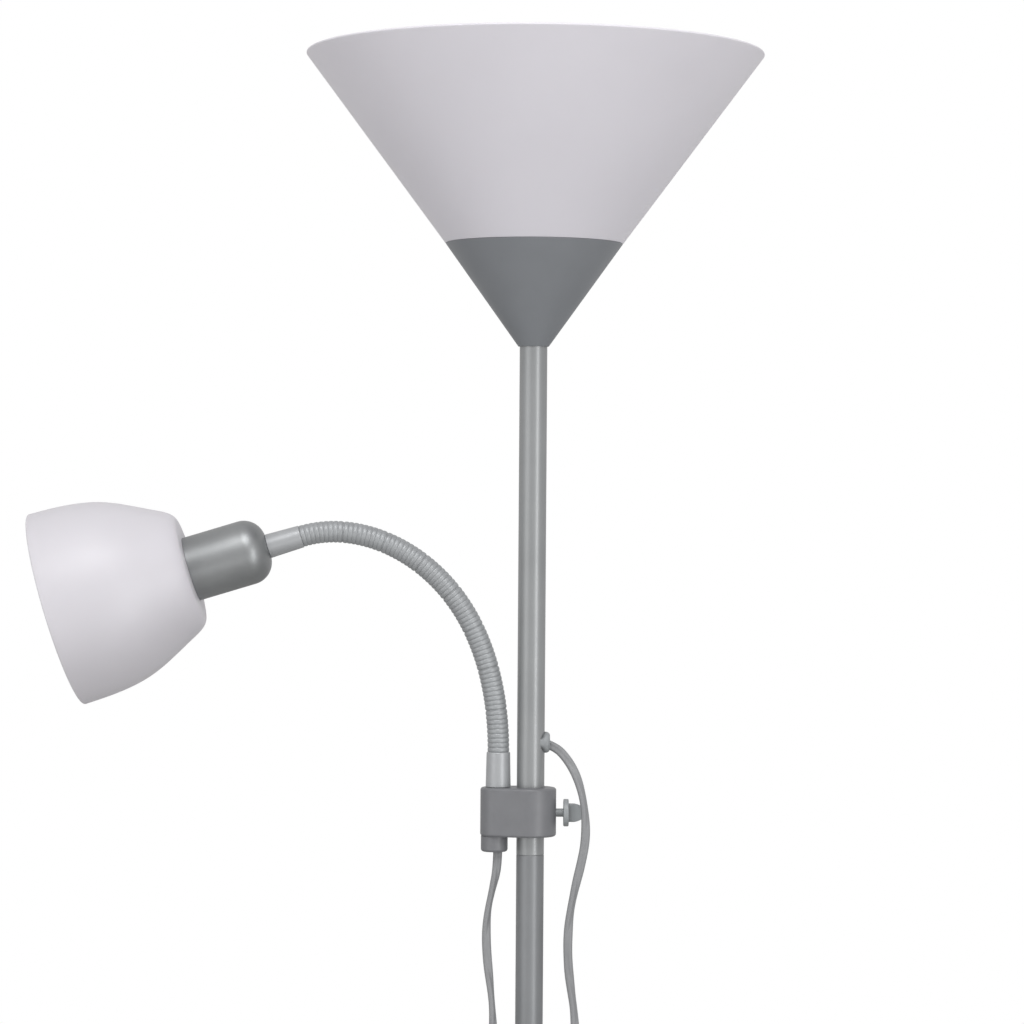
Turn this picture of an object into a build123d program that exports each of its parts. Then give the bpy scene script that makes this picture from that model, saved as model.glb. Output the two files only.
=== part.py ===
from build123d import *
import math
import os

# Torchiere floor lamp with a reading light on a gooseneck.
# Millimetres, +Z up. The origin lies on the pole's axis, on the floor.
# The reading light reaches out along -X, and the viewer stands on the -Y side.

# ---- fits ----
press_gap = 0.05          # round pieces that are pushed or screwed together
running_gap = 0.06        # round pieces that turn or slide in each other
face_gap = 0.05           # flat faces that turn on each other

# ---- weighted base ----
base_radius = 113.5
base_height = 55.0        # floor to the flat pad that carries the pole
sheet = 1.0               # pressed steel of the cover
shoulder_radius = 36.0
shoulder_height = 16.0    # where the upright rim ends and the shoulder starts
pad_radius = 13.0
lip_width = 8.0           # turned inward under the rim
tray_height = 9.5
tray_setback = 5.0        # the black tray stands back from the cover's rim
tray_draft = 0.8
tray_wall = 2.5
tray_floor = 2.0
tray_foot_height = 1.0    # the ring that the lamp stands on
tray_foot_width = 8.0
notch_width = 27.0
notch_height = 7.0
notch_angle = 219.7
ballast_radius = 90.0
ballast_thickness = 16.0
hub_radius = 22.0
nut_pocket_radius = 16.0
nut_pocket_depth = 11.0

# ---- threaded rod through the base ----
rod_radius = 4.95
rod_hole_radius = 5.2
nut_width = 17.0          # across flats
nut_height = 8.0
washer_radius = 11.0
washer_thickness = 1.8
rod_reach = 25.0          # into the pole

# ---- pole ----
pole_radius = 7.5
pole_wall = 0.9
section_length = 331.25
top_section_length = 284.0
seam_chamfer = 0.3
coupler_length = 44.0
coupler_bore_radius = 4.2
plug_length = 28.0
collar_radius = 11.0
collar_height = 4.0

# ---- uplight: grey cone, white shade, screw lampholder ----
cone_overlap = 8.0        # how far the cone reaches down over the pole's end
cone_foot_radius = 8.3
cone_top_radius = 48.3
cone_height = 56.0
cone_wall = 1.2
web_thickness = 2.0
shade_rim_radius = 125.0
shade_height = 103.0      # from the cone's edge to the rim
shade_wall = 1.5
shade_nest = 20.0         # how deep the shade sits in the cone
shade_nest_gap = 0.3
nipple_radius = 4.95
nipple_bore_radius = 3.4
nipple_nut_width = 14.0
nipple_nut_height = 3.0
holder_radius = 20.2
holder_flange_radius = 24.0
holder_flange = 2.0
holder_sleeve_height = 30.0
holder_wall = 2.0
cap_foot_radius = 9.5
cap_thread_depth = 8.0
socket_radius = 13.4
socket_floor = 4.0
ring_radius = 27.0
ring_height = 5.4
bulb_radius = 30.0
bulb_neck_radius = 14.5
bulb_base_radius = 13.1
bulb_length = 107.0

# ---- clamp block, thumb screw and swivel ----
clamp_drop = 274.0        # pole's end to the block's underside
clamp_height = 26.5
clamp_radius = 14.0       # round the pole
arm_offset = 17.6         # pole axis to swivel axis
arm_boss_radius = 9.6
clamp_edge = 1.5
thumb_axis_height = 12.8  # above the block's bottom face
thumb_shaft_radius = 2.25
thumb_neck = 3.9          # bare shaft between block and flange
thumb_flange_radius = 7.45
thumb_flange = 2.9
thumb_wing_length = 8.4
thumb_wing_height = 10.1
thumb_tip_height = 7.0     # the wing narrows to its outer end
thumb_wing_thickness = 3.0
thumb_tip_gap = 0.3
ferrule_height = 19.1
ferrule_foot_radius = 6.8
ferrule_top_radius = 6.4
stem_radius = 4.0
cable_bore_radius = 2.6
stem_nut_width = 10.0
stem_nut_height = 5.5
stem_pocket_radius = 6.6
stem_pocket_depth = 7.5
gland_radius = 7.3
gland_height = 8.5
gland_offset = 1.9        # the gland sits that much further out than the swivel axis
gland_edge = 1.6

# ---- gooseneck ----
neck_radius = 5.9
neck_groove_radius = 5.5
neck_bore_radius = 3.0
link_length = 23.0
link_turns = [7.0, 8.5, 10.5, 13.0, 14.0, 15.0, 17.5, 21.5]
ribs_per_link = 8
link_gap = 0.55           # lets neighbouring links tilt by 5 degrees

# ---- reading head, measured along its own axis from the neck's end ----
head_ferrule_length = 19.0
head_ferrule_radius = 6.1
head_ferrule_end_radius = 6.6
cup_length = 45.5
cup_radius = 17.65
cup_corner = 12.0
cup_wall = 1.0
shade_seat = 2.0          # the reading shade's back sits that deep in the cup
reading_back_radius = 27.0
reading_side_radius = 36.5
reading_side_start = 8.0
reading_mid_radius = 49.6
reading_mid = 36.5
reading_rim_radius = 53.8
reading_depth = 74.4
reading_wall = 1.5
small_holder_radius = 13.6
small_cap_length = 25.0
small_cap_radius = 13.0
small_flange_radius = 16.3
small_flange = 2.5
small_sleeve_length = 20.0
small_socket_radius = 7.3
small_ring_radius = 19.0
small_ring_height = 5.0
small_bulb_radius = 22.5
small_bulb_base_radius = 7.0
small_bulb_neck_radius = 9.0
small_bulb_length = 70.0

# ---- grommet where the uplight's cord leaves the pole ----
grommet_drop = 223.0      # below the pole's end
grommet_radius = 5.7
grommet_neck_radius = 4.0
grommet_reach = 2.9
grommet_round = 2.2
grommet_inner_flange = 1.2

# ---- double rocker switch on the cords ----
switch_top = (-27.0, 1203.0)
switch_tilt = 6.75
switch_length = 71.5
switch_top_width = 32.0
switch_bottom_width = 27.0
switch_half_thickness = 9.0
switch_plane_y = -17.0
switch_corner = 6.0
switch_edge = 2.5
switch_wall = 1.8
panel_width = 23.5
panel_length = 30.0
panel_depth = 0.8
rocker_centre = -1.4      # below the middle of the housing
rocker_spacing = 10.8
rocker_width = 8.6
rocker_sweep_radius = 8.2
rocker_crest = 5.3        # pivot to the raised ends
rocker_dip = 4.2          # pivot to the middle
rocker_foot = 2.2
rocker_pivot = 4.5        # in front of the parting plane
rocker_pin_radius = 1.25
rocker_pin_reach = 0.8
rocker_tilt = 8.0
window_gap = 0.3
ear_thickness = 2.0
carrier_top = 0.9
carrier_margin = 1.4
switch_boss_radius = 3.2
switch_screw_radius = 1.2
switch_screw_head_radius = 2.6
switch_screw_head = 1.6
switch_screw_inset = 8.5

# ---- cords ----
lead_diameter = 4.6       # the two cords above the switch
mains_diameter = 5.0
cable_diameter = 3.6      # inside the pole
entry_spacing = 7.0       # between the two cords at the switch
gland_recess = 3.0

# ---- cable ties ----
tie_width = 4.8
tie_thickness = 1.2
tie_gap = 0.3
tie_head = 3.4
tie_stations = [(787.0, 13.3), (586.0, 13.9), (296.0, 14.8)]

# ---- coil and plug on the floor ----
coil_centre = (277.5, 50.0)
coil_mid_radius = 27.5
coil_pitch = 5.5
coil_layer_step = 5.5
coil_turns = 7.5
coil_climb_turns = 0.5
coil_lift = 1.25          # the tie's band passes under the coil
coil_tie_width = 5.0
coil_tie_thickness = 0.9
coil_tie_corner = 3.0
plug_width = 35.3
plug_thickness = 13.7
plug_body_length = 36.0
plug_waist = 26.0
plug_root = 8.0           # half width where the relief joins
plug_waist_length = 13.0
plug_cheek = 5.0
plug_bend = 8.0
plug_edge = 2.0
plug_relief_length = 20.0
plug_relief_radius = 3.4
plug_relief_root_radius = 5.2
pin_radius = 2.0
pin_length = 19.0
pin_spacing = 19.0

# ---- heights that follow ----
pole_bore_radius = pole_radius - pole_wall
seams = [base_height + section_length * count for count in range(5)]
pole_top = seams[4] + top_section_length
cone_foot = pole_top - cone_overlap
cone_top = cone_foot + cone_height
cone_slope = (cone_top_radius - cone_foot_radius) / cone_height
shade_slope = (shade_rim_radius - cone_top_radius) / shade_height
rim_height = cone_top + shade_height
nut_seat = pole_top + web_thickness
cap_foot = nut_seat + nipple_nut_height
shade_floor = cone_top - shade_nest
holder_foot = shade_floor - holder_flange
grommet_height = pole_top - grommet_drop
clamp_bottom = pole_top - clamp_drop
clamp_top = clamp_bottom + clamp_height
neck_start = clamp_top + face_gap + ferrule_height

os.makedirs("parts", exist_ok=True)


def save(builder, node):
    """Name the finished piece and write it to its own file."""
    builder.part.label = node
    export_step(builder.part, f"parts/{node}.step")


# ======================= weighted base =======================

# The cover is a pressed dome: upright rim, round shoulder, nearly flat crown.
# Crown and shoulder are two circles that touch, so the skin has no kink.
shoulder_x = base_radius - shoulder_radius
crown_rise = base_height - shoulder_height
crown_radius = ((shoulder_x - pad_radius) ** 2 + crown_rise ** 2 - shoulder_radius ** 2) / (
    2 * (crown_rise - shoulder_radius)
)
crown_angle = math.degrees(math.asin((shoulder_x - pad_radius) / (crown_radius - shoulder_radius)))


def dome_outline(inset):
    """Half outline of the dome, drawn a given distance inside its outer skin."""
    rim = base_radius - inset
    top = base_height - inset
    CenterArc((shoulder_x, shoulder_height), shoulder_radius - inset, 0, 90 - crown_angle)
    CenterArc((pad_radius, base_height - crown_radius), crown_radius - inset, 90 - crown_angle, crown_angle)
    Polyline((pad_radius, top), (0, top), (0, tray_height), (rim, tray_height), (rim, shoulder_height))


with BuildPart() as base_cover:
    with BuildSketch(Plane.XZ):
        with BuildLine():
            dome_outline(0)
        make_face()
    revolve(axis=Axis.Z)
    with BuildSketch(Plane.XZ):
        with BuildLine():
            dome_outline(sheet)
        make_face()
    revolve(axis=Axis.Z, mode=Mode.SUBTRACT)
    with BuildSketch(Plane.XY.offset(tray_height)):
        Circle(base_radius - sheet / 2)
        Circle(base_radius - lip_width, mode=Mode.SUBTRACT)
    extrude(amount=sheet)
    with BuildSketch(Plane.XY.offset(base_height)):
        Circle(rod_hole_radius)
    extrude(amount=-2 * sheet, mode=Mode.SUBTRACT)
save(base_cover, "base_cover")

# The tray closes the base from below. Its middle is drawn up into a cup
# that takes the nut, so that nothing stands proud of the foot ring.
tray_radius = base_radius - tray_setback
tray_floor_top = tray_foot_height + tray_floor
pocket_ceiling = tray_floor_top + nut_pocket_depth
cup_inner_radius = nut_pocket_radius - tray_floor
foot_inner_radius = tray_radius - tray_foot_width
with BuildPart() as base_tray:
    with BuildSketch(Plane.XZ):
        with BuildLine():
            Polyline(
                (rod_hole_radius, pocket_ceiling),
                (nut_pocket_radius, pocket_ceiling),
                (nut_pocket_radius, tray_floor_top),
                (tray_radius - tray_wall, tray_floor_top),
                (tray_radius - tray_wall, tray_height),
                (tray_radius, tray_height),
                (tray_radius - tray_draft, 0),
                (foot_inner_radius, 0),
                (foot_inner_radius, tray_foot_height),
                (cup_inner_radius, tray_foot_height),
                (cup_inner_radius, pocket_ceiling - tray_floor),
                (rod_hole_radius, pocket_ceiling - tray_floor),
                close=True,
            )
        make_face()
    revolve(axis=Axis.Z)
    with BuildSketch():
        with PolarLocations(tray_radius - tray_foot_width / 2, 1, start_angle=notch_angle):
            Rectangle(2 * tray_foot_width, notch_width)
    extrude(amount=notch_height, mode=Mode.SUBTRACT)
save(base_tray, "base_tray")

# The ballast is a cast iron disc. Its hub reaches up to the cover's pad,
# so the rod clamps tray, ballast, cover and pole into one stack.
ballast_top = tray_floor_top + ballast_thickness
hub_top = base_height - sheet
with BuildPart() as base_ballast:
    with BuildSketch(Plane.XZ):
        with BuildLine():
            Polyline(
                (rod_hole_radius, hub_top),
                (pad_radius, hub_top),
                (hub_radius, ballast_top),
                (ballast_radius, ballast_top),
                (ballast_radius, tray_floor_top),
                (nut_pocket_radius + press_gap, tray_floor_top),
                (nut_pocket_radius + press_gap, pocket_ceiling),
                (rod_hole_radius, pocket_ceiling),
                close=True,
            )
        make_face()
    revolve(axis=Axis.Z)
    fillet(base_ballast.edges().filter_by(GeomType.CIRCLE).filter_by(
        lambda edge: edge.radius == ballast_radius and edge.center().Z > ballast_top - 1), radius=3)
save(base_ballast, "base_ballast")

washer_foot = pocket_ceiling - tray_floor - washer_thickness
with BuildPart() as base_washer:
    with BuildSketch(Plane.XY.offset(washer_foot)):
        Circle(washer_radius)
        Circle(rod_hole_radius, mode=Mode.SUBTRACT)
    extrude(amount=washer_thickness)
save(base_washer, "base_washer")

nut_foot = washer_foot - nut_height
with BuildPart() as base_nut:
    with BuildSketch(Plane.XY.offset(nut_foot)):
        RegularPolygon(nut_width / 2, 6, major_radius=False)
        Circle(rod_radius + press_gap, mode=Mode.SUBTRACT)
    extrude(amount=nut_height)
save(base_nut, "base_nut")

with BuildPart() as base_rod:
    with BuildSketch(Plane.XY.offset(nut_foot)):
        Circle(rod_radius)
    extrude(amount=base_height + rod_reach - nut_foot)
    chamfer(base_rod.edges(), length=0.8)
save(base_rod, "base_rod")

# ======================= pole =======================

with BuildPart() as pole_collar:
    with BuildSketch(Plane.XY.offset(base_height)):
        Circle(collar_radius)
        Circle(pole_radius + press_gap, mode=Mode.SUBTRACT)
    extrude(amount=collar_height)
    fillet(pole_collar.edges().group_by(Axis.Z)[-1].sort_by(SortBy.RADIUS)[-1], radius=1.2)
save(pole_collar, "pole_collar")


def pole_tube(bottom, length):
    """One pole section: a thin tube with broken outer edges."""
    with BuildPart() as tube:
        with BuildSketch(Plane.XY.offset(bottom)):
            Circle(pole_radius)
            Circle(pole_bore_radius, mode=Mode.SUBTRACT)
        extrude(amount=length)
        outer_edges = tube.edges().filter_by(GeomType.CIRCLE).filter_by(
            lambda edge: edge.radius > pole_bore_radius)
        chamfer(outer_edges, length=seam_chamfer)
    return tube


for number, bottom in enumerate(seams[:4], start=1):
    save(pole_tube(bottom, section_length), f"pole_section_{number}")

# The top section has the round hole for the grommet, on the right.
with BuildPart() as pole_section_5:
    add(pole_tube(seams[4], top_section_length).part)
    with BuildSketch(Plane.YZ):
        with Locations((0, grommet_height)):
            Circle(grommet_neck_radius + press_gap)
    extrude(amount=2 * pole_radius, mode=Mode.SUBTRACT)
save(pole_section_5, "pole_section_5")

# A turned coupler sits half in each of two sections.
with BuildPart() as pole_couplers:
    for seam in seams[1:]:
        with BuildSketch(Plane.XY.offset(seam - coupler_length / 2)):
            Circle(pole_bore_radius - press_gap)
            Circle(coupler_bore_radius, mode=Mode.SUBTRACT)
        extrude(amount=coupler_length)
save(pole_couplers, "pole_couplers")

# Two equal threaded plugs close the pole: the foot takes the rod, the top the nipple.
with BuildPart() as pole_plugs:
    for bottom in (base_height, pole_top - plug_length):
        with BuildSketch(Plane.XY.offset(bottom)):
            Circle(pole_bore_radius - press_gap)
            Circle(rod_radius + press_gap, mode=Mode.SUBTRACT)
        extrude(amount=plug_length)
save(pole_plugs, "pole_plugs")

# ======================= uplight =======================

cone_run = cone_wall * math.hypot(1, cone_slope)      # wall measured across, not square
shade_run = shade_wall * math.hypot(1, shade_slope)


def cone_radius(height):
    """Outer radius of the grey cone at a height."""
    return cone_foot_radius + cone_slope * (height - cone_foot)


# The cone sleeves over the pole's end and carries an inner web that sits on it.
with BuildPart() as uplight_cone:
    with BuildSketch(Plane.XZ):
        with BuildLine():
            Polyline(
                (pole_radius + press_gap, cone_foot),
                (cone_foot_radius, cone_foot),
                (cone_top_radius, cone_top),
                (cone_top_radius - cone_run, cone_top),
                (cone_radius(nut_seat) - cone_run, nut_seat),
                (nipple_radius + press_gap, nut_seat),
                (nipple_radius + press_gap, pole_top),
                (pole_radius + press_gap, pole_top),
                close=True,
            )
        make_face()
    revolve(axis=Axis.Z)
save(uplight_cone, "uplight_cone")

nipple_foot = pole_top - plug_length + 4
nipple_top = cap_foot + cap_thread_depth
with BuildPart() as uplight_nipple:
    with BuildSketch(Plane.XY.offset(nipple_foot)):
        Circle(nipple_radius)
        Circle(nipple_bore_radius, mode=Mode.SUBTRACT)
    extrude(amount=nipple_top - nipple_foot)
save(uplight_nipple, "uplight_nipple")

with BuildPart() as uplight_nut:
    with BuildSketch(Plane.XY.offset(nut_seat)):
        RegularPolygon(nipple_nut_width / 2, 6, major_radius=False)
        Circle(nipple_radius + press_gap, mode=Mode.SUBTRACT)
    extrude(amount=nipple_nut_height)
save(uplight_nut, "uplight_nut")

# The lampholder's cap is a rounded cup with a threaded boss inside.
cap_radius = holder_radius + 0.3
cap_bend = cap_radius - cap_foot_radius
boss_radius = nipple_radius + 4
with BuildPart() as uplight_holder_cap:
    with BuildSketch(Plane.XZ):
        with BuildLine():
            Polyline(
                (cap_foot_radius, cap_foot),
                (nipple_radius + press_gap, cap_foot),
                (nipple_radius + press_gap, nipple_top),
                (boss_radius, nipple_top),
                (boss_radius, cap_foot + holder_wall),
                (cap_foot_radius, cap_foot + holder_wall),
            )
            CenterArc((cap_foot_radius, cap_foot + cap_bend), cap_bend - holder_wall, -90, 90)
            Polyline(
                (cap_radius - holder_wall, cap_foot + cap_bend),
                (cap_radius - holder_wall, holder_foot),
                (cap_radius, holder_foot),
                (cap_radius, cap_foot + cap_bend),
            )
            CenterArc((cap_foot_radius, cap_foot + cap_bend), cap_bend, -90, 90)
        make_face()
    revolve(axis=Axis.Z)
save(uplight_holder_cap, "uplight_holder_cap")

# The holder's body has a flange under the shade and a socket for the bulb.
bulb_foot = holder_foot + socket_floor + face_gap
bulb_base_length = holder_flange + holder_sleeve_height - socket_floor
with BuildPart() as uplight_holder:
    with BuildSketch(Plane.XY.offset(holder_foot)):
        Circle(holder_flange_radius)
    extrude(amount=holder_flange)
    with BuildSketch(Plane.XY.offset(shade_floor)):
        Circle(holder_radius)
    extrude(amount=holder_sleeve_height)
    with BuildSketch(Plane.XY.offset(holder_foot + socket_floor)):
        Circle(socket_radius)
    extrude(amount=holder_sleeve_height, mode=Mode.SUBTRACT)
save(uplight_holder, "uplight_holder")

# The white shade drops into the cone: flat floor, nested wall, then the open flare.
nest_floor_radius = cone_radius(shade_floor) - cone_run - shade_nest_gap
nest_top_radius = cone_top_radius - cone_run - shade_nest_gap
with BuildPart() as uplight_shade:
    with BuildSketch(Plane.XZ):
        with BuildLine():
            Polyline(
                (holder_radius + press_gap, shade_floor),
                (nest_floor_radius, shade_floor),
                (nest_top_radius, cone_top),
                (cone_top_radius, cone_top),
                (shade_rim_radius, rim_height),
                (shade_rim_radius - shade_run, rim_height),
                (nest_top_radius - shade_run, cone_top),
                (nest_floor_radius - shade_run + shade_slope * shade_wall, shade_floor + shade_wall),
                (holder_radius + press_gap, shade_floor + shade_wall),
                close=True,
            )
        make_face()
    revolve(axis=Axis.Z)
    fillet(uplight_shade.edges().group_by(Axis.Z)[-1], radius=0.6)
save(uplight_shade, "uplight_shade")

# The shade ring screws down on the holder's thread. Its flutes are for the fingers.
ring_foot = shade_floor + shade_wall
with BuildPart() as uplight_ring:
    with BuildSketch(Plane.XY.offset(ring_foot)):
        Circle(ring_radius)
        Circle(holder_radius + press_gap, mode=Mode.SUBTRACT)
        with PolarLocations(ring_radius + 1.0, 12):
            Circle(2.2, mode=Mode.SUBTRACT)
    extrude(amount=ring_height)
save(uplight_ring, "uplight_ring")


def bulb_profile(base_radius_, base_length, neck_radius_, globe_radius, length):
    """Half outline of a pear bulb that stands on the origin: cap, neck and globe."""
    globe_centre = length - globe_radius
    tangent_angle = 35
    join_x = globe_radius * math.cos(math.radians(tangent_angle))
    join_y = globe_centre - globe_radius * math.sin(math.radians(tangent_angle))
    rise = (math.sin(math.radians(tangent_angle)), math.cos(math.radians(tangent_angle)))
    Polyline(
        (0, length),
        (0, 0),
        (0.4 * base_radius_, 0),
        (base_radius_, 0.15 * base_length),
        (base_radius_, base_length),
        (neck_radius_, base_length),
    )
    Spline((neck_radius_, base_length), (join_x, join_y), tangents=((0, 1), rise))
    CenterArc((0, globe_centre), globe_radius, -tangent_angle, 90 + tangent_angle)


with BuildPart() as bulb_large:
    with BuildSketch(Plane(origin=(0, 0, bulb_foot), x_dir=(1, 0, 0), z_dir=(0, -1, 0))):
        with BuildLine():
            bulb_profile(bulb_base_radius, bulb_base_length, bulb_neck_radius, bulb_radius, bulb_length)
        make_face()
    revolve(axis=Axis.Z)
save(bulb_large, "bulb_large")

# ======================= clamp block =======================

arm_x = -arm_offset
stem_pocket_ceiling = clamp_bottom + stem_pocket_depth
thumb_z = clamp_bottom + thumb_axis_height
with BuildPart() as clamp_block:
    with BuildSketch(Plane.XY.offset(clamp_bottom)):
        Circle(clamp_radius)
        with Locations((arm_x, 0)):
            Circle(arm_boss_radius)
        make_hull()
    extrude(amount=clamp_height)
    end_edges = clamp_block.edges().group_by(Axis.Z)[0] + clamp_block.edges().group_by(Axis.Z)[-1]
    fillet(end_edges, radius=clamp_edge)
    with BuildSketch(Plane.XY.offset(clamp_bottom)):
        Circle(pole_radius + running_gap)
        with Locations((arm_x, 0)):
            Circle(stem_radius + running_gap)
    extrude(amount=clamp_height, mode=Mode.SUBTRACT)
    with BuildSketch(Plane.XY.offset(clamp_bottom)):
        with Locations((arm_x, 0)):
            Circle(stem_pocket_radius)
    extrude(amount=stem_pocket_depth, mode=Mode.SUBTRACT)
    with BuildSketch(Plane.YZ):
        with Locations((0, thumb_z)):
            Circle(thumb_shaft_radius + running_gap)
    extrude(amount=2 * clamp_radius, mode=Mode.SUBTRACT)
save(clamp_block, "clamp_block")

# The thumb screw is one moulding on a threaded shaft: round flange, flat wing with round corners.
flange_start = clamp_radius + thumb_neck
wing_start = flange_start + thumb_flange
wing_end = wing_start + thumb_wing_length
shaft_start = pole_radius + thumb_tip_gap
with BuildPart() as thumb_screw:
    with BuildSketch(Plane.YZ.offset(shaft_start)):
        with Locations((0, thumb_z)):
            Circle(thumb_shaft_radius)
    extrude(amount=wing_start - shaft_start)
    with BuildSketch(Plane.YZ.offset(flange_start)):
        with Locations((0, thumb_z)):
            Circle(thumb_flange_radius)
    extrude(amount=thumb_flange)
    fillet(thumb_screw.edges().filter_by(GeomType.CIRCLE).group_by(SortBy.RADIUS)[-1], radius=0.7)
    with BuildSketch(Plane.XZ.offset(-thumb_wing_thickness / 2)):
        with BuildLine():
            Polyline(
                (wing_start, thumb_z - thumb_wing_height / 2),
                (wing_end, thumb_z - thumb_tip_height / 2),
                (wing_end, thumb_z + thumb_tip_height / 2),
                (wing_start, thumb_z + thumb_wing_height / 2),
                close=True,
            )
        make_face()
    extrude(amount=thumb_wing_thickness)
    fillet(thumb_screw.edges().filter_by(Axis.Y).group_by(Axis.X)[-1], radius=2.8)
save(thumb_screw, "thumb_screw")

# The cord gland is pushed up under the block, a little outside the swivel axis.
gland_bottom = clamp_bottom - gland_height
gland_x = arm_x - gland_offset
lead_radius = lead_diameter / 2
with BuildPart() as cord_gland:
    with BuildSketch(Plane.XY.offset(gland_bottom)):
        with Locations((gland_x, 0)):
            Circle(gland_radius)
    extrude(amount=gland_height)
    fillet(cord_gland.edges().group_by(Axis.Z)[0], radius=gland_edge)
    with BuildSketch(Plane.XY.offset(gland_bottom)):
        with Locations((arm_x, 0)):
            Circle(lead_radius + 2 * press_gap)
    extrude(amount=gland_recess, mode=Mode.SUBTRACT)
    with BuildSketch(Plane.XY.offset(gland_bottom)):
        with Locations((arm_x, 0)):
            Circle(lead_radius - 0.5)
    extrude(amount=gland_height, mode=Mode.SUBTRACT)
save(cord_gland, "cord_gland")

# ======================= swivel ferrule and gooseneck =======================

# The ferrule turns in the block on its hollow stem, and a nut holds it from below.
stem_bottom = stem_pocket_ceiling - face_gap - stem_nut_height
with BuildPart() as arm_ferrule:
    with BuildSketch(Plane(origin=(arm_x, 0, 0), x_dir=(1, 0, 0), z_dir=(0, -1, 0))):
        with BuildLine():
            Polyline(
                (cable_bore_radius, stem_bottom),
                (stem_radius, stem_bottom),
                (stem_radius, clamp_top + face_gap),
                (ferrule_foot_radius, clamp_top + face_gap),
                (ferrule_top_radius, neck_start),
                (cable_bore_radius, neck_start),
                close=True,
            )
        make_face()
    revolve(axis=Axis((arm_x, 0, 0), (0, 0, 1)))
    fillet(arm_ferrule.edges().filter_by(GeomType.CIRCLE).filter_by(
        lambda edge: edge.center().Z > neck_start - 1 and edge.radius > cable_bore_radius + 1), radius=0.8)
save(arm_ferrule, "arm_ferrule")

with BuildPart() as arm_nut:
    with BuildSketch(Plane.XY.offset(stem_bottom)):
        with Locations((arm_x, 0)):
            RegularPolygon(stem_nut_width / 2, 6, major_radius=False)
            Circle(stem_radius + press_gap, mode=Mode.SUBTRACT)
    extrude(amount=stem_nut_height)
save(arm_nut, "arm_nut")


def neck_frame(distance):
    """Point and heading (degrees from +X, in the XZ plane) at a distance along the neck."""
    x, z, heading = arm_x, neck_start, 90.0
    for link, turn in enumerate(link_turns):
        step = min(max(distance - link * link_length, 0.0), link_length)
        angle = turn * step / link_length
        bend_radius = link_length / math.radians(turn)
        chord = 2 * bend_radius * math.sin(math.radians(angle / 2))
        x += chord * math.cos(math.radians(heading + angle / 2))
        z += chord * math.sin(math.radians(heading + angle / 2))
        heading += angle
    return x, z, heading


def neck_plane(distance):
    """The plane square to the neck at a distance along it, with a steady X axis."""
    x, z, heading = neck_frame(distance)
    direction = (math.cos(math.radians(heading)), 0, math.sin(math.radians(heading)))
    return Plane(origin=(x, 0, z), x_dir=(0, 1, 0), z_dir=direction)


# Each link is a length of the ribbed neck: crests and grooves follow the bend.
link_count = len(link_turns)
neck_length = link_count * link_length
for link in range(link_count):
    first = link * link_length + (link_gap / 2 if link > 0 else 0)
    last = (link + 1) * link_length - (link_gap / 2 if link < link_count - 1 else 0)
    half_rib = (last - first) / (2 * ribs_per_link)
    with BuildPart() as neck_link:
        for step in range(2 * ribs_per_link + 1):
            with BuildSketch(neck_plane(first + step * half_rib)):
                Circle(neck_radius if step % 2 else neck_groove_radius)
        loft(ruled=True)
        for distance in (first, last):
            with BuildSketch(neck_plane(distance)):
                Circle(neck_bore_radius)
        loft(ruled=True, mode=Mode.SUBTRACT)
    save(neck_link, f"neck_link_{link + 1}")

# ======================= reading head =======================

head_x, head_z, head_heading = neck_frame(neck_length)
head_direction = Vector(math.cos(math.radians(head_heading)), 0, math.sin(math.radians(head_heading)))
head_origin = Vector(head_x, 0, head_z)
head_axis = Axis(head_origin, head_direction)
# Sketches on this plane have x along the head's axis and y away from it.
head_side = Plane(origin=head_origin, x_dir=head_direction, z_dir=(0, 1, 0))
cup_back = head_ferrule_length
cup_mouth = cup_back + cup_length
shade_back = cup_mouth - shade_seat

with BuildPart() as head_ferrule:
    with BuildSketch(head_side):
        with BuildLine():
            Polyline(
                (0, cable_bore_radius),
                (0, head_ferrule_radius),
                (cup_back, head_ferrule_end_radius),
                (cup_back, stem_radius),
                (cup_back + cup_wall + cap_thread_depth, stem_radius),
                (cup_back + cup_wall + cap_thread_depth, cable_bore_radius),
                close=True,
            )
        make_face()
    revolve(axis=head_axis)
save(head_ferrule, "head_ferrule")

# The cup is a drawn tube with a rounded back. The shade's back closes its mouth.
with BuildPart() as head_cup:
    with BuildSketch(head_side):
        with BuildLine():
            Polyline(
                (cup_back + cup_corner, cup_radius),
                (shade_back, cup_radius),
                (shade_back, cup_radius - cup_wall),
                (cup_back + cup_corner, cup_radius - cup_wall),
            )
            CenterArc((cup_back + cup_corner, cup_radius - cup_corner), cup_corner - cup_wall, 90, 90)
            Polyline(
                (cup_back + cup_wall, cup_radius - cup_corner),
                (cup_back + cup_wall, stem_radius + press_gap),
                (cup_back, stem_radius + press_gap),
                (cup_back, cup_radius - cup_corner),
            )
            CenterArc((cup_back + cup_corner, cup_radius - cup_corner), cup_corner, 90, 90)
        make_face()
    revolve(axis=head_axis)
save(head_cup, "head_cup")

small_cap_foot = cup_back + cup_wall
small_cap_end = small_cap_foot + small_cap_length
with BuildPart() as head_holder_cap:
    with BuildSketch(head_side):
        with BuildLine():
            Polyline(
                (small_cap_foot, stem_radius + press_gap),
                (small_cap_foot, cup_radius - cup_corner),
                (small_cap_foot + 6, small_cap_radius),
                (small_cap_end, small_cap_radius),
                (small_cap_end, small_cap_radius - holder_wall),
                (small_cap_foot + cap_thread_depth, small_cap_radius - holder_wall),
                (small_cap_foot + cap_thread_depth, stem_radius + press_gap),
                close=True,
            )
        make_face()
    revolve(axis=head_axis)
save(head_holder_cap, "head_holder_cap")

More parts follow.
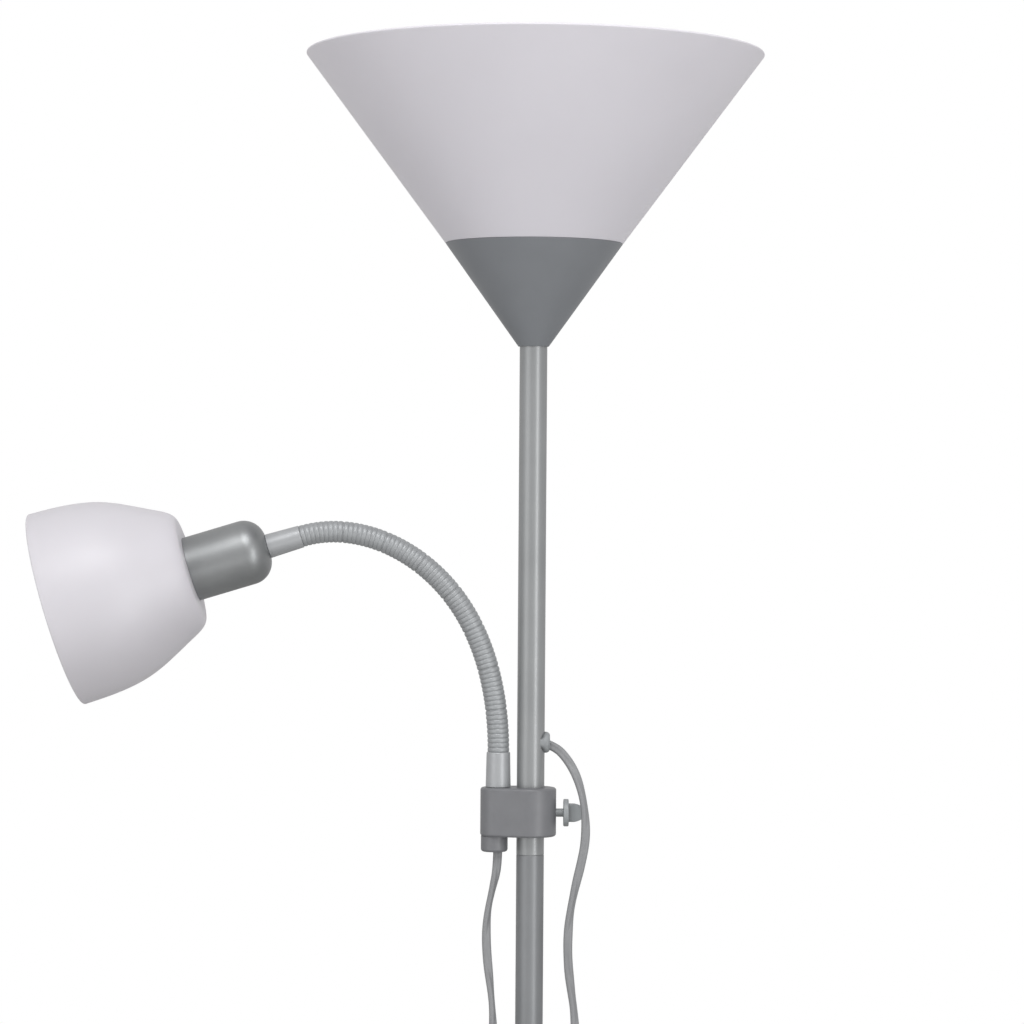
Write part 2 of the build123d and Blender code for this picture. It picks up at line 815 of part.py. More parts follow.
# The small holder's flange bears on the shade's back from inside the cup.
small_sleeve_end = shade_back + reading_wall + small_sleeve_length
small_socket_foot = shade_back
with BuildPart() as head_holder:
    with BuildSketch(head_side):
        with BuildLine():
            Polyline(
                (small_cap_end, 0),
                (small_cap_end, small_cap_radius),
                (shade_back - small_flange, small_cap_radius),
                (shade_back - small_flange, small_flange_radius),
                (shade_back, small_flange_radius),
                (shade_back, small_holder_radius),
                (small_sleeve_end, small_holder_radius),
                (small_sleeve_end, small_socket_radius),
                (small_socket_foot, small_socket_radius),
                (small_socket_foot, 0),
                close=True,
            )
        make_face()
    revolve(axis=head_axis)
save(head_holder, "head_holder")

with BuildPart() as head_ring:
    with BuildSketch(Plane(origin=head_axis.position + head_direction * (shade_back + reading_wall),
                           x_dir=(0, 1, 0), z_dir=head_direction)):
        Circle(small_ring_radius)
        Circle(small_holder_radius + press_gap, mode=Mode.SUBTRACT)
        with PolarLocations(small_ring_radius + 0.8, 10):
            Circle(1.8, mode=Mode.SUBTRACT)
    extrude(amount=small_ring_height)
save(head_ring, "head_ring")


def reading_outline(inset):
    """Reading shade's outline, a given distance inside its skin: flat back, corner, bell side."""
    back = shade_back + inset
    corner_x = cup_mouth + reading_side_start
    Line((back, 0), (back, reading_back_radius - inset / 2))
    Spline(
        (back, reading_back_radius - inset / 2),
        (corner_x + inset / 2, reading_side_radius - inset),
        (cup_mouth + reading_mid, reading_mid_radius - inset),
        (cup_mouth + reading_depth, reading_rim_radius - inset),
        tangents=((0, 1), (1, 0.02)),
    )
    rim = cup_mouth + reading_depth
    Polyline((rim, reading_rim_radius - inset), (rim, 0), (back, 0))


with BuildPart() as reading_shade:
    with BuildSketch(head_side):
        with BuildLine():
            reading_outline(0)
        make_face()
    revolve(axis=head_axis)
    with BuildSketch(head_side):
        with BuildLine():
            reading_outline(reading_wall)
        make_face()
    revolve(axis=head_axis, mode=Mode.SUBTRACT)
    with BuildSketch(Plane(origin=head_axis.position + head_direction * shade_back,
                           x_dir=(0, 1, 0), z_dir=head_direction)):
        Circle(small_holder_radius + press_gap)
    extrude(amount=2 * reading_wall, mode=Mode.SUBTRACT)
save(reading_shade, "reading_shade")

small_bulb_foot = small_socket_foot + face_gap
small_bulb_base_length = small_sleeve_end - small_socket_foot
with BuildPart() as bulb_small:
    with BuildSketch(Plane(origin=head_axis.position + head_direction * small_bulb_foot,
                           x_dir=(0, 1, 0), z_dir=head_direction.cross(Vector(0, 1, 0)) * -1)):
        with BuildLine():
            bulb_profile(small_bulb_base_radius, small_bulb_base_length, small_bulb_neck_radius,
                         small_bulb_radius, small_bulb_length)
        make_face()
    revolve(axis=head_axis)
save(bulb_small, "bulb_small")

# ======================= cords above the switch =======================

switch_up = Vector(-math.sin(math.radians(switch_tilt)), 0, math.cos(math.radians(switch_tilt)))
switch_right = Vector(math.cos(math.radians(switch_tilt)), 0, math.sin(math.radians(switch_tilt)))
switch_top_point = Vector(switch_top[0], switch_plane_y, switch_top[1])
switch_centre = switch_top_point - switch_up * (switch_length / 2)
switch_front_plane = Plane(origin=switch_centre, x_dir=switch_right, z_dir=(0, -1, 0))
lead_entry = switch_top_point + switch_right * (entry_spacing / 2)
reading_entry = switch_top_point - switch_right * (entry_spacing / 2)


def corner_radii(points):
    """The largest arc at each corner: 0.45 of its shorter run over the tangent of half its turn."""
    radii = []
    for before, corner, after in zip(points, points[1:], points[2:]):
        run_in = Vector(corner) - Vector(before)
        run_out = Vector(after) - Vector(corner)
        half_turn = math.radians(run_in.get_angle(run_out) / 2)
        radii.append(0.45 * min(run_in.length, run_out.length) / math.tan(half_turn))
    return radii


def cord_tube(points, diameter, node):
    """A cord: an eight-sided tube along straight runs joined by tangent arcs."""
    radii = corner_radii(points)
    start = Vector(points[0])
    with BuildPart() as tube:
        with BuildLine() as route:
            FilletPolyline(*points, radius=radii)
        with BuildSketch(Plane(origin=start, z_dir=Vector(points[1]) - start)):
            RegularPolygon(diameter / 2, 8)
        sweep(path=route.wire())
    section = 2 * math.sqrt(2) * (diameter / 2) ** 2
    length = route.wire().length
    print(f"{node}: length {length:.1f}, volume over section x length "
          f"{tube.part.volume / (section * length):.4f}, "
          f"least radius {min(radii):.1f}")
    print("   radii", [round(radius) for radius in radii])
    save(tube, node)
    return tube


# The cord from the uplight leaves the pole at the grommet, swings out to the right round
# the thumb screw, hangs, and crosses in front of the pole to the switch.
lead_start = (pole_radius - 1.3, 0.0, grommet_height)
lead_turn = (lead_start[0] + 7.4, 0.0, grommet_height - 2.4)
upper_points = [
    lead_start,
    lead_turn,
    (19.9, -2.2, 1432.0),
    (24.9, -6.4, 1423.5),
    (28.2, -10.6, 1412.5),
    (29.9, -13.2, 1400.0),
    (29.7, -15.2, 1388.0),
    (27.3, -16.6, 1376.0),
    (24.0, -17.6, 1363.0),
    (21.3, -18.3, 1349.0),
    (20.4, -18.7, 1335.0),
    (20.8, -18.9, 1322.0),
    (22.4, -18.8, 1309.0),
    (24.2, -18.5, 1297.0),
    (24.9, -18.3, 1285.0),
    (23.4, -18.4, 1272.0),
    (18.8, -18.8, 1260.0),
    (11.0, -19.3, 1250.5),
    (1.0, -19.6, 1243.5),
    (-9.0, -19.4, 1237.5),
    (-17.4, -18.6, 1230.5),
    (-22.8, -17.5, 1222.0),
    lead_entry + switch_up * 10,
    lead_entry,
]
cord_tube(upper_points, lead_diameter, "upper_cord")

# The reading light's cord drops from the gland and swings twice on its way to the switch.
reading_points = [
    (arm_x, 0.0, gland_bottom + gland_recess),
    (arm_x, 0.0, 1373.0),
    (-20.3, -0.8, 1361.5),
    (-22.9, -2.0, 1349.5),
    (-23.6, -3.7, 1337.0),
    (-22.9, -5.6, 1324.0),
    (-21.3, -7.6, 1311.0),
    (-19.9, -9.6, 1298.0),
    (-19.3, -11.4, 1285.0),
    (-20.1, -13.1, 1272.0),
    (-22.5, -14.6, 1259.0),
    (-25.8, -15.7, 1246.5),
    (-29.2, -16.5, 1234.5),
    (-31.4, -16.9, 1223.0),
    reading_entry + switch_up * 10,
    reading_entry,
]
cord_tube(reading_points, lead_diameter, "reading_cord")

# Inside the pole the uplight's cable hangs from the lampholder and turns out at the grommet.
lead_direction = (Vector(lead_turn) - Vector(lead_start)).normalized()
cable_turn = Vector(lead_start) - lead_direction * 5
cable_points = [
    (-1.4, 0.0, cap_foot + cap_thread_depth + 3),
    (-1.4, 0.0, cable_turn.Z + 8),
    cable_turn,
    lead_start,
]
cord_tube(cable_points, cable_diameter, "pole_cable")

# The grommet grips the edge of the pole's hole with a flange outside and inside.
with BuildPart() as pole_grommet:
    with BuildSketch(Plane.YZ):
        with Locations((0, grommet_height)):
            Circle(grommet_radius)
    extrude(amount=pole_radius + grommet_reach)
    fillet(pole_grommet.edges().group_by(Axis.X)[-1], radius=grommet_round)
    with BuildSketch(Plane.XY.offset(grommet_height - 2 * grommet_radius)):
        Circle(pole_radius)
    extrude(amount=4 * grommet_radius, mode=Mode.SUBTRACT)
    with BuildSketch(Plane.YZ.offset(pole_bore_radius - 2 * grommet_inner_flange)):
        with Locations((0, grommet_height)):
            Circle(grommet_neck_radius)
    extrude(amount=pole_radius + grommet_reach / 2 - pole_bore_radius + 2 * grommet_inner_flange)
    with BuildSketch(Plane(origin=Vector(lead_start) - lead_direction * 10, z_dir=lead_direction)):
        Circle(lead_radius + 2 * press_gap)
    extrude(amount=30, mode=Mode.SUBTRACT)
save(pole_grommet, "pole_grommet")

# ======================= switch =======================


switch_flare = math.degrees(math.atan((switch_top_width - switch_bottom_width) / 2 / switch_length))


def switch_outline(inset):
    """The housing's outline, drawn inside its edge: wider at the top, with round corners."""
    outline = Trapezoid(
        switch_top_width - 2 * inset, switch_length - 2 * inset, 90 + switch_flare, 90 + switch_flare
    )
    fillet(outline.vertices(), radius=switch_corner - inset)


screw_places = [(0, switch_length / 2 - switch_screw_inset), (0, -switch_length / 2 + switch_screw_inset)]
rocker_places = [(-rocker_spacing / 2, rocker_centre), (rocker_spacing / 2, rocker_centre)]
inner_face = switch_half_thickness - switch_wall
boss_length = inner_face

with BuildPart() as switch_front:
    with BuildSketch(switch_front_plane):
        switch_outline(0)
    extrude(amount=switch_half_thickness)
    fillet(switch_front.faces().sort_by(Axis.Y)[0].edges(), radius=switch_edge)
    with BuildSketch(switch_front_plane):
        switch_outline(switch_wall)
    extrude(amount=inner_face, mode=Mode.SUBTRACT)
    with BuildSketch(switch_front_plane.offset(switch_half_thickness)):
        with Locations((0, rocker_centre)):
            RectangleRounded(panel_width, panel_length, 2)
    extrude(amount=-panel_depth, mode=Mode.SUBTRACT)
    with BuildSketch(switch_front_plane):
        with Locations(*rocker_places):
            Rectangle(rocker_width + 2 * window_gap, 2 * (rocker_sweep_radius + window_gap))
    extrude(amount=switch_half_thickness, mode=Mode.SUBTRACT)
    with BuildSketch(switch_front_plane):
        with Locations(*screw_places):
            Circle(switch_boss_radius)
            Circle(switch_screw_radius + press_gap, mode=Mode.SUBTRACT)
    extrude(amount=boss_length)
save(switch_front, "switch_front")

with BuildPart() as switch_back:
    with BuildSketch(switch_front_plane):
        switch_outline(0)
    extrude(amount=-switch_half_thickness)
    fillet(switch_back.faces().sort_by(Axis.Y)[-1].edges(), radius=switch_edge)
    with BuildSketch(switch_front_plane):
        switch_outline(switch_wall)
    extrude(amount=-inner_face, mode=Mode.SUBTRACT)
    with BuildSketch(switch_front_plane):
        with Locations(*screw_places):
            Circle(switch_boss_radius)
    extrude(amount=-boss_length)
    with BuildSketch(switch_front_plane):
        with Locations(*screw_places):
            Circle(switch_screw_radius + press_gap)
    extrude(amount=-switch_half_thickness, mode=Mode.SUBTRACT)
    with BuildSketch(switch_front_plane.offset(-switch_half_thickness)):
        with Locations(*screw_places):
            Circle(switch_screw_head_radius + press_gap)
    extrude(amount=switch_screw_head, mode=Mode.SUBTRACT)
save(switch_back, "switch_back")

with BuildPart() as switch_screws:
    with BuildSketch(switch_front_plane.offset(-switch_half_thickness)):
        with Locations(*screw_places):
            Circle(switch_screw_head_radius)
    extrude(amount=switch_screw_head)
    with BuildSketch(switch_front_plane.offset(-switch_half_thickness + switch_screw_head)):
        with Locations(*screw_places):
            Circle(switch_screw_radius)
    extrude(amount=switch_half_thickness - switch_screw_head + 0.7 * boss_length)
save(switch_screws, "switch_screws")

# The carrier fills the back shell's middle and has three ears for the rockers' pins.
carrier_half = rocker_spacing / 2 + rocker_width / 2 + face_gap + ear_thickness
ear_places = [-carrier_half + ear_thickness / 2, 0, carrier_half - ear_thickness / 2]
ear_top = inner_face - 2 * face_gap
with BuildPart() as switch_carrier:
    with BuildSketch(switch_front_plane.offset(-inner_face)):
        with Locations((0, rocker_centre)):
            Rectangle(2 * carrier_half, 2 * (rocker_sweep_radius + carrier_margin))
    extrude(amount=inner_face + carrier_top)
    with BuildSketch(switch_front_plane.offset(carrier_top)):
        with Locations(*[(place, rocker_centre) for place in ear_places]):
            Rectangle(ear_thickness - 2 * face_gap, 6)
    extrude(amount=ear_top - carrier_top)
    pivot_line = switch_centre + switch_up * rocker_centre + Vector(0, -rocker_pivot, 0)
    with BuildSketch(Plane(origin=pivot_line - switch_right * carrier_half, z_dir=switch_right)):
        Circle(rocker_pin_radius + running_gap)
    extrude(amount=2 * carrier_half, mode=Mode.SUBTRACT)
save(switch_carrier, "switch_carrier")


def switch_rocker(place, node):
    """A rocker at rest, tipped to its lower end: two flats that meet in a dip, and two pins."""
    pivot = switch_centre + switch_right * place[0] + switch_up * place[1] + Vector(0, -rocker_pivot, 0)
    tip = math.radians(rocker_tilt)
    along = switch_up * math.cos(tip) + Vector(0, -1, 0) * math.sin(tip)
    crest_y = math.sqrt(rocker_sweep_radius ** 2 - rocker_crest ** 2)
    foot_y = math.sqrt(rocker_sweep_radius ** 2 - rocker_foot ** 2)
    # x runs along the rocker, y out of the housing, and the extrusion along the pivot
    side = Plane(origin=pivot, x_dir=along, z_dir=switch_right)
    outward = -1 if side.y_dir.Y > 0 else 1
    crest_z = outward * rocker_crest
    foot_z = -outward * rocker_foot
    with BuildPart() as rocker:
        with BuildSketch(side):
            with BuildLine():
                Polyline((-crest_y, crest_z), (0, outward * rocker_dip), (crest_y, crest_z))
                ThreePointArc((crest_y, crest_z), (rocker_sweep_radius, 0), (foot_y, foot_z))
                Line((foot_y, foot_z), (-foot_y, foot_z))
                ThreePointArc((-foot_y, foot_z), (-rocker_sweep_radius, 0), (-crest_y, crest_z))
            make_face()
        extrude(amount=rocker_width / 2, both=True)
        with BuildSketch(side):
            Circle(rocker_pin_radius)
        extrude(amount=rocker_width / 2 + rocker_pin_reach, both=True)
    save(rocker, node)


switch_rocker(rocker_places[0], "rocker_left")
switch_rocker(rocker_places[1], "rocker_right")

# ======================= mains cord, ties, coil and plug =======================

# From the switch the cord passes behind the pole, comes out on its right, is tied there three
# times, and then leads out over the floor to the coil.
mains_radius = mains_diameter / 2
switch_outlet = switch_centre - switch_up * (switch_length / 2) + switch_right * 2
coil_radius = coil_mid_radius + coil_pitch * coil_turns / 4
coil_z = coil_lift + mains_radius
coil_start = (coil_centre[0] - coil_radius, coil_centre[1] + mains_diameter, coil_z)
mains_points = [
    switch_outlet,
    switch_outlet - switch_up * 13,
    (-14.4, -13.6, 1109.0),
    (-13.6, -8.0, 1098.5),
    (-12.9, -1.2, 1088.5),
    (-11.2, 5.0, 1078.0),
    (-7.4, 9.4, 1066.0),
    (-2.4, 11.6, 1052.5),
    (2.6, 11.4, 1038.0),
    (6.8, 9.2, 1023.5),
    (9.6, 5.9, 1009.5),
    (11.4, 2.6, 995.0),
    (13.0, 0.6, 977.0),
    (14.3, 0.0, 945.0),
    (14.4, -0.2, 900.0),
    (13.7, -0.2, 850.0),
    (13.3, 0.0, 812.0),
    (13.2, 0.0, 770.0),
    (12.2, 0.1, 722.0),
    (12.9, 0.1, 672.0),
    (13.8, 0.0, 628.0),
    (13.9, 0.0, 580.0),
    (13.0, -0.1, 525.0),
    (12.2, -0.1, 470.0),
    (12.4, 0.0, 415.0),
    (13.6, 0.1, 360.0),
    (14.7, 0.0, 312.0),
    (15.0, 0.6, 279.0),
    (15.9, 3.2, 247.0),
    (18.8, 9.0, 219.0),
    (24.8, 20.0, 190.0),
    (33.5, 36.0, 160.5),
    (45.0, 56.0, 131.0),
    (60.5, 79.5, 104.0),
    (78.5, 105.0, 79.0),
    (97.5, 130.5, 56.5),
    (117.5, 155.0, 37.0),
    (138.5, 177.0, 21.5),
    (161.0, 192.5, 10.5),
    (184.5, 197.5, 4.2),
    (206.5, 189.0, 2.6),
    (223.5, 170.0, 2.6),
    (233.5, 146.0, 2.6),
    (238.2, 121.0, 2.7),
    (239.9, 97.0, 3.0),
    (coil_start[0], 75.0, coil_z),
    coil_start,
]
cord_tube(mains_points, mains_diameter, "mains_cord")

# Each tie is a flat band round pole and cord, with its square head beyond the cord.
with BuildPart() as cable_ties:
    for height, cord_x in tie_stations:
        inner_pole = pole_radius + tie_gap
        inner_cord = mains_radius + tie_gap
        with BuildSketch(Plane.XY.offset(height - tie_width / 2)):
            Circle(inner_pole + tie_thickness)
            with Locations((cord_x, 0)):
                Circle(inner_cord + tie_thickness)
            make_hull()
        extrude(amount=tie_width)
        with BuildSketch(Plane.XY.offset(height - tie_width / 2)):
            Circle(inner_pole)
            with Locations((cord_x, 0)):
                Circle(inner_cord)
            make_hull()
        extrude(amount=tie_width, mode=Mode.SUBTRACT)
        with BuildSketch(Plane.XY.offset(height - tie_width / 2)):
            with Locations((cord_x + inner_cord + tie_thickness / 2, 0)):
                Rectangle(tie_head, tie_head + 1, align=(Align.MIN, Align.CENTER))
        extrude(amount=tie_width)
save(cable_ties, "cable_ties")

# The coil: a spiral in on the floor layer, a half turn that climbs, a spiral out on top.


def coil_state(turns):
    """Radius and height after a number of turns from the coil's outer end."""
    past_middle = turns - coil_turns / 2
    share = min(max(past_middle / coil_climb_turns + 0.5, 0.0), 1.0)
    climb = (1 - math.cos(math.pi * share)) / 2
    radius = coil_mid_radius + coil_pitch * (abs(past_middle) - coil_turns / 4)
    return radius, coil_z + coil_layer_step * climb


def coil_point(turns):
    """A point of the coil's centre line. It starts at the left and runs anticlockwise."""
    radius, height = coil_state(turns)
    angle = math.pi + 2 * math.pi * turns
    across = coil_centre[0] + radius * math.cos(angle)
    return Vector(across, coil_centre[1] + radius * math.sin(angle), height)


def coil_tangent(turns):
    """Unit direction of the coil at a number of turns."""
    step = 1e-4
    if turns < step:
        return Vector(0, -1, 0)
    if turns > coil_turns - step:
        return end_direction
    return (coil_point(turns + step) - coil_point(turns - step)).normalized()


def biarc_joint(start, start_direction, end, end_direction_):
    """The point where two arcs meet that join two ends and keep both directions."""
    gap = end - start
    both = start_direction + end_direction_
    product = 2 * (1 - start_direction.dot(end_direction_))
    linear = gap.dot(both)
    reach = (-linear + math.sqrt(linear ** 2 + product * gap.dot(gap))) / product
    return (start + end + (start_direction - end_direction_) * reach) * 0.5


end_angle = math.pi + 2 * math.pi * coil_turns
end_direction = Vector(-math.sin(end_angle), math.cos(end_angle), 0)
quarter_count = round(coil_turns * 4)
coil_end = coil_point(coil_turns) + end_direction * mains_diameter
with BuildPart() as mains_coil:
    with BuildLine() as winding:
        Line(coil_start, coil_point(0))
        for quarter in range(quarter_count):
            start, end = quarter / 4, (quarter + 1) / 4
            start_point, end_point = coil_point(start), coil_point(end)
            joint = biarc_joint(start_point, coil_tangent(start), end_point, coil_tangent(end))
            first_arc = TangentArc(start_point, joint, tangent=coil_tangent(start))
            TangentArc(joint, end_point, tangent=first_arc % 1)
        Line(coil_point(coil_turns), coil_end)
    with BuildSketch(Plane(origin=coil_start, z_dir=(0, -1, 0))):
        RegularPolygon(mains_radius, 8)
    sweep(path=winding.wire())
samples = [coil_point(coil_turns * index / 800) for index in range(801)]
spacing = coil_turns * 2 * math.pi * coil_mid_radius / 800
skip = int(2.5 * mains_diameter / spacing)
least_gap = min(
    (samples[i] - samples[j]).length for i in range(801) for j in range(i + skip, 801)
) - mains_diameter
print(f"mains_coil: length {winding.wire().length:.1f}, least gap to itself {least_gap:.2f}")
save(mains_coil, "mains_coil")

# A flat tie goes round all the turns of the coil, on the side towards the viewer.
tie_bottom = coil_z - mains_radius - tie_gap - coil_tie_thickness
tie_top = coil_z + coil_layer_step + mains_radius + tie_gap + coil_tie_thickness
bundle_width = 2 * (coil_radius - coil_mid_radius + mains_radius + tie_gap)
tie_middle = (coil_centre[1] - coil_mid_radius, (tie_bottom + tie_top) / 2)
with BuildPart() as coil_tie:
    with BuildSketch(Plane.YZ.offset(coil_centre[0] - coil_tie_width / 2)):
        with Locations(tie_middle):
            RectangleRounded(bundle_width + 2 * coil_tie_thickness, tie_top - tie_bottom, coil_tie_corner)
            RectangleRounded(bundle_width, tie_top - tie_bottom - 2 * coil_tie_thickness,
                             coil_tie_corner - coil_tie_thickness, mode=Mode.SUBTRACT)
    extrude(amount=coil_tie_width)
save(coil_tie, "coil_tie")

# The last bit of cord comes off the coil's top layer and sinks to the plug on the floor.
plug_axis_z = plug_thickness / 2 + 0.05
lead_x = coil_end.X
plug_x = lead_x - 4
plug_start = (plug_x, coil_end.Y + 50, plug_axis_z)
plug_lead_points = [
    coil_end,
    (lead_x, coil_end.Y + 13.0, coil_end.Z),
    (plug_x, coil_end.Y + 37.0, plug_axis_z),
    plug_start,
]
cord_tube(plug_lead_points, mains_diameter, "plug_lead")

# The plug is a flat two-pin plug with a waisted grip and a tapered cord relief.
relief_end = plug_start[1] + plug_relief_length
pin_face = relief_end + plug_body_length
with BuildPart() as plug_body:
    with BuildSketch(Plane.XY.offset(plug_axis_z - plug_thickness / 2)):
        with BuildLine():
            Polyline(
                (plug_x - plug_root, relief_end),
                (plug_x - plug_waist / 2, relief_end + plug_waist_length),
                (plug_x - plug_width / 2, pin_face - plug_cheek),
                (plug_x - plug_width / 2, pin_face),
                (plug_x + plug_width / 2, pin_face),
                (plug_x + plug_width / 2, pin_face - plug_cheek),
                (plug_x + plug_waist / 2, relief_end + plug_waist_length),
                (plug_x + plug_root, relief_end),
                close=True,
            )
        make_face()
        shoulders = vertices().sort_by(Axis.Y)
        fillet(shoulders[2:6], radius=plug_bend)
    extrude(amount=plug_thickness)
    fillet(plug_body.edges().group_by(Axis.Z)[0] + plug_body.edges().group_by(Axis.Z)[-1], radius=plug_edge)
    with BuildSketch(Plane.XZ.offset(-plug_start[1])):
        with Locations((plug_x, plug_axis_z)):
            Circle(plug_relief_radius)
    with BuildSketch(Plane.XZ.offset(-relief_end - 3)):
        with Locations((plug_x, plug_axis_z)):
            Circle(plug_relief_root_radius)
    loft()
save(plug_body, "plug_body")

with BuildPart() as plug_pins:
    with BuildSketch(Plane.XZ.offset(-pin_face)):
        with Locations((plug_x - pin_spacing / 2, plug_axis_z), (plug_x + pin_spacing / 2, plug_axis_z)):
            Circle(pin_radius)
    extrude(amount=-pin_length)
    fillet(plug_pins.edges().group_by(Axis.Y)[-1], radius=1.2)
save(plug_pins, "plug_pins")
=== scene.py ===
import math

import bmesh
import bpy
import numpy as np
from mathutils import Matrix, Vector


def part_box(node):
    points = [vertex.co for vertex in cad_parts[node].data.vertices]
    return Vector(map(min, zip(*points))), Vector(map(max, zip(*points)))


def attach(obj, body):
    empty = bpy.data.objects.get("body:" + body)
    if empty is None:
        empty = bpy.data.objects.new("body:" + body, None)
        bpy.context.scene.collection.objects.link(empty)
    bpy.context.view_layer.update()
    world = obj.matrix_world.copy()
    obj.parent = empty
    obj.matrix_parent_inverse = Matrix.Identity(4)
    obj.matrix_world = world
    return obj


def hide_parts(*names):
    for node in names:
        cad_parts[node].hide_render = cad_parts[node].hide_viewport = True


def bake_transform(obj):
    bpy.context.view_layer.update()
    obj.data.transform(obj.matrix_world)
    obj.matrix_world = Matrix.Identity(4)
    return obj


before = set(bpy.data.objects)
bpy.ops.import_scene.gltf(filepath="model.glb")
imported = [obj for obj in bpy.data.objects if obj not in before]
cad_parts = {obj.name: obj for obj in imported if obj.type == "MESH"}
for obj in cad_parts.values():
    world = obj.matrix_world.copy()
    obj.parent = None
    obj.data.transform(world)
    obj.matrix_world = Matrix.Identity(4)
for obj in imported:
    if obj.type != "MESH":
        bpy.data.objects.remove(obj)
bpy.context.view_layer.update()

# ---------------------------------------------------------------------------
# Studio. A pale floor under a white surround, lit by large soft boxes, and the
# close view of the lamp's upper half, taken from a little above the clamp.
# ---------------------------------------------------------------------------

MM = 0.001


def linear(hex_colour):
    """An sRGB hex colour as the linear red, green, blue and alpha that Blender uses."""
    channels = [int(hex_colour[i:i + 2], 16) / 255 for i in (1, 3, 5)]
    return [c / 12.92 if c <= 0.04045 else ((c + 0.055) / 1.055) ** 2.4 for c in channels] + [1.0]


def node(tree, kind, inputs=None, **settings):
    """Adds a node, makes its settings, and sets each input to a value or links it to a socket."""
    item = tree.nodes.new(kind)
    for name, value in settings.items():
        setattr(item, name, value)
    for name, value in (inputs or {}).items():
        if isinstance(value, bpy.types.NodeSocket):
            tree.links.new(value, item.inputs[name])
        else:
            item.inputs[name].default_value = value
    return item


def new_finish(name):
    """An empty node material and its tree."""
    material = bpy.data.materials.new(name)
    material.use_nodes = True
    material.node_tree.nodes.clear()
    return material, material.node_tree


camera_place = (-0.0111, -1.9, 1.566)
camera_roll = -0.0069
camera_data = bpy.data.cameras.new("close_view")
camera_data.lens = 122.9
camera_data.sensor_width = 36
camera_data.clip_end = 50
camera = bpy.data.objects.new("close_view", camera_data)
camera.location = camera_place
camera.rotation_euler = (math.pi / 2, camera_roll, 0)
bpy.context.scene.collection.objects.link(camera)
bpy.context.scene.camera = camera
bpy.context.scene.view_settings.view_transform = "Standard"

world = bpy.data.worlds.new("white_surround")
world.use_nodes = True
sky = world.node_tree
sky.nodes.clear()
ray = node(sky, "ShaderNodeLightPath").outputs
seen = node(sky, "ShaderNodeMath", {0: ray["Is Camera Ray"], 1: ray["Is Transmission Ray"]},
            operation="MAXIMUM")
way = node(sky, "ShaderNodeSeparateXYZ", {0: node(sky, "ShaderNodeTexCoord").outputs["Generated"]})
level = node(sky, "ShaderNodeMapRange", {0: way.outputs["Z"], 1: -1.0, 2: 1.0, 3: 0.53, 4: 0.90})
glow = node(sky, "ShaderNodeBackground", {"Color": linear("#F6F5F5"), "Strength": level.outputs[0]})
white = node(sky, "ShaderNodeBackground", {"Color": (1, 1, 1, 1), "Strength": 1.0})
both = node(sky, "ShaderNodeMixShader", {0: seen.outputs[0], 1: glow.outputs[0], 2: white.outputs[0]})
node(sky, "ShaderNodeOutputWorld", {"Surface": both.outputs[0]})
bpy.context.scene.world = world


def soft_box(name, place, target, width, height, power):
    """A rectangular lamp that faces a target point."""
    data = bpy.data.lights.new(name, "AREA")
    data.shape = "RECTANGLE"
    data.size = width
    data.size_y = height
    data.energy = power
    lamp = bpy.data.objects.new(name, data)
    lamp.location = place
    lamp.rotation_euler = (Vector(target) - Vector(place)).to_track_quat("-Z", "Y").to_euler()
    bpy.context.scene.collection.objects.link(lamp)


soft_box("key_above", (-0.1, -1.8, 3.7), (0, 0, 1.4), 1.6, 1.3, 37)
soft_box("strip_right", (2.0, -2.5, 1.3), (0, 0, 1.2), 0.7, 2.6, 34)
soft_box("fill_left", (-2.6, -2.4, 1.6), (0, 0, 1.2), 2.2, 2.4, 23)
soft_box("low_front", (0.2, -3.0, 0.5), (0, 0, 0.8), 2.4, 1.0, 6)

floor_reach = 4.0
floor_mesh = bpy.data.meshes.new("studio_floor")
floor_corners = [(-1, -1), (1, -1), (1, 1), (-1, 1)]
floor_mesh.from_pydata([(x * floor_reach, y * floor_reach, 0) for x, y in floor_corners], [], [(0, 1, 2, 3)])
floor = bpy.data.objects.new("studio_floor", floor_mesh)
bpy.context.scene.collection.objects.link(floor)
# Matt studio paper: pale to the camera, and darker to the light that it throws back at the lamp.
paper, tree = new_finish("pale_floor_paper")
matt = node(tree, "ShaderNodeBsdfDiffuse", {"Color": linear("#EDEDEC")})
lift = node(tree, "ShaderNodeEmission", {"Color": (1, 1, 1, 1), "Strength": 0.08})
dull = node(tree, "ShaderNodeBsdfDiffuse", {"Color": linear("#B6B6B5")})
raised = node(tree, "ShaderNodeAddShader", {0: matt.outputs[0], 1: lift.outputs[0]})
direct = node(tree, "ShaderNodeLightPath").outputs["Is Camera Ray"]
mixed = node(tree, "ShaderNodeMixShader", {0: direct, 1: dull.outputs[0], 2: raised.outputs[0]})
node(tree, "ShaderNodeOutputMaterial", {"Surface": mixed.outputs[0]})
floor_mesh.materials.append(paper)

# ---------------------------------------------------------------------------
# Cords above the switch. Flat twin flex, two cores side by side in grey PVC,
# extruded in one piece, so a shallow groove runs along both flat faces.
# ---------------------------------------------------------------------------

flex_width = 4.9
flex_core_radius = 1.5
flex_web = 1.4

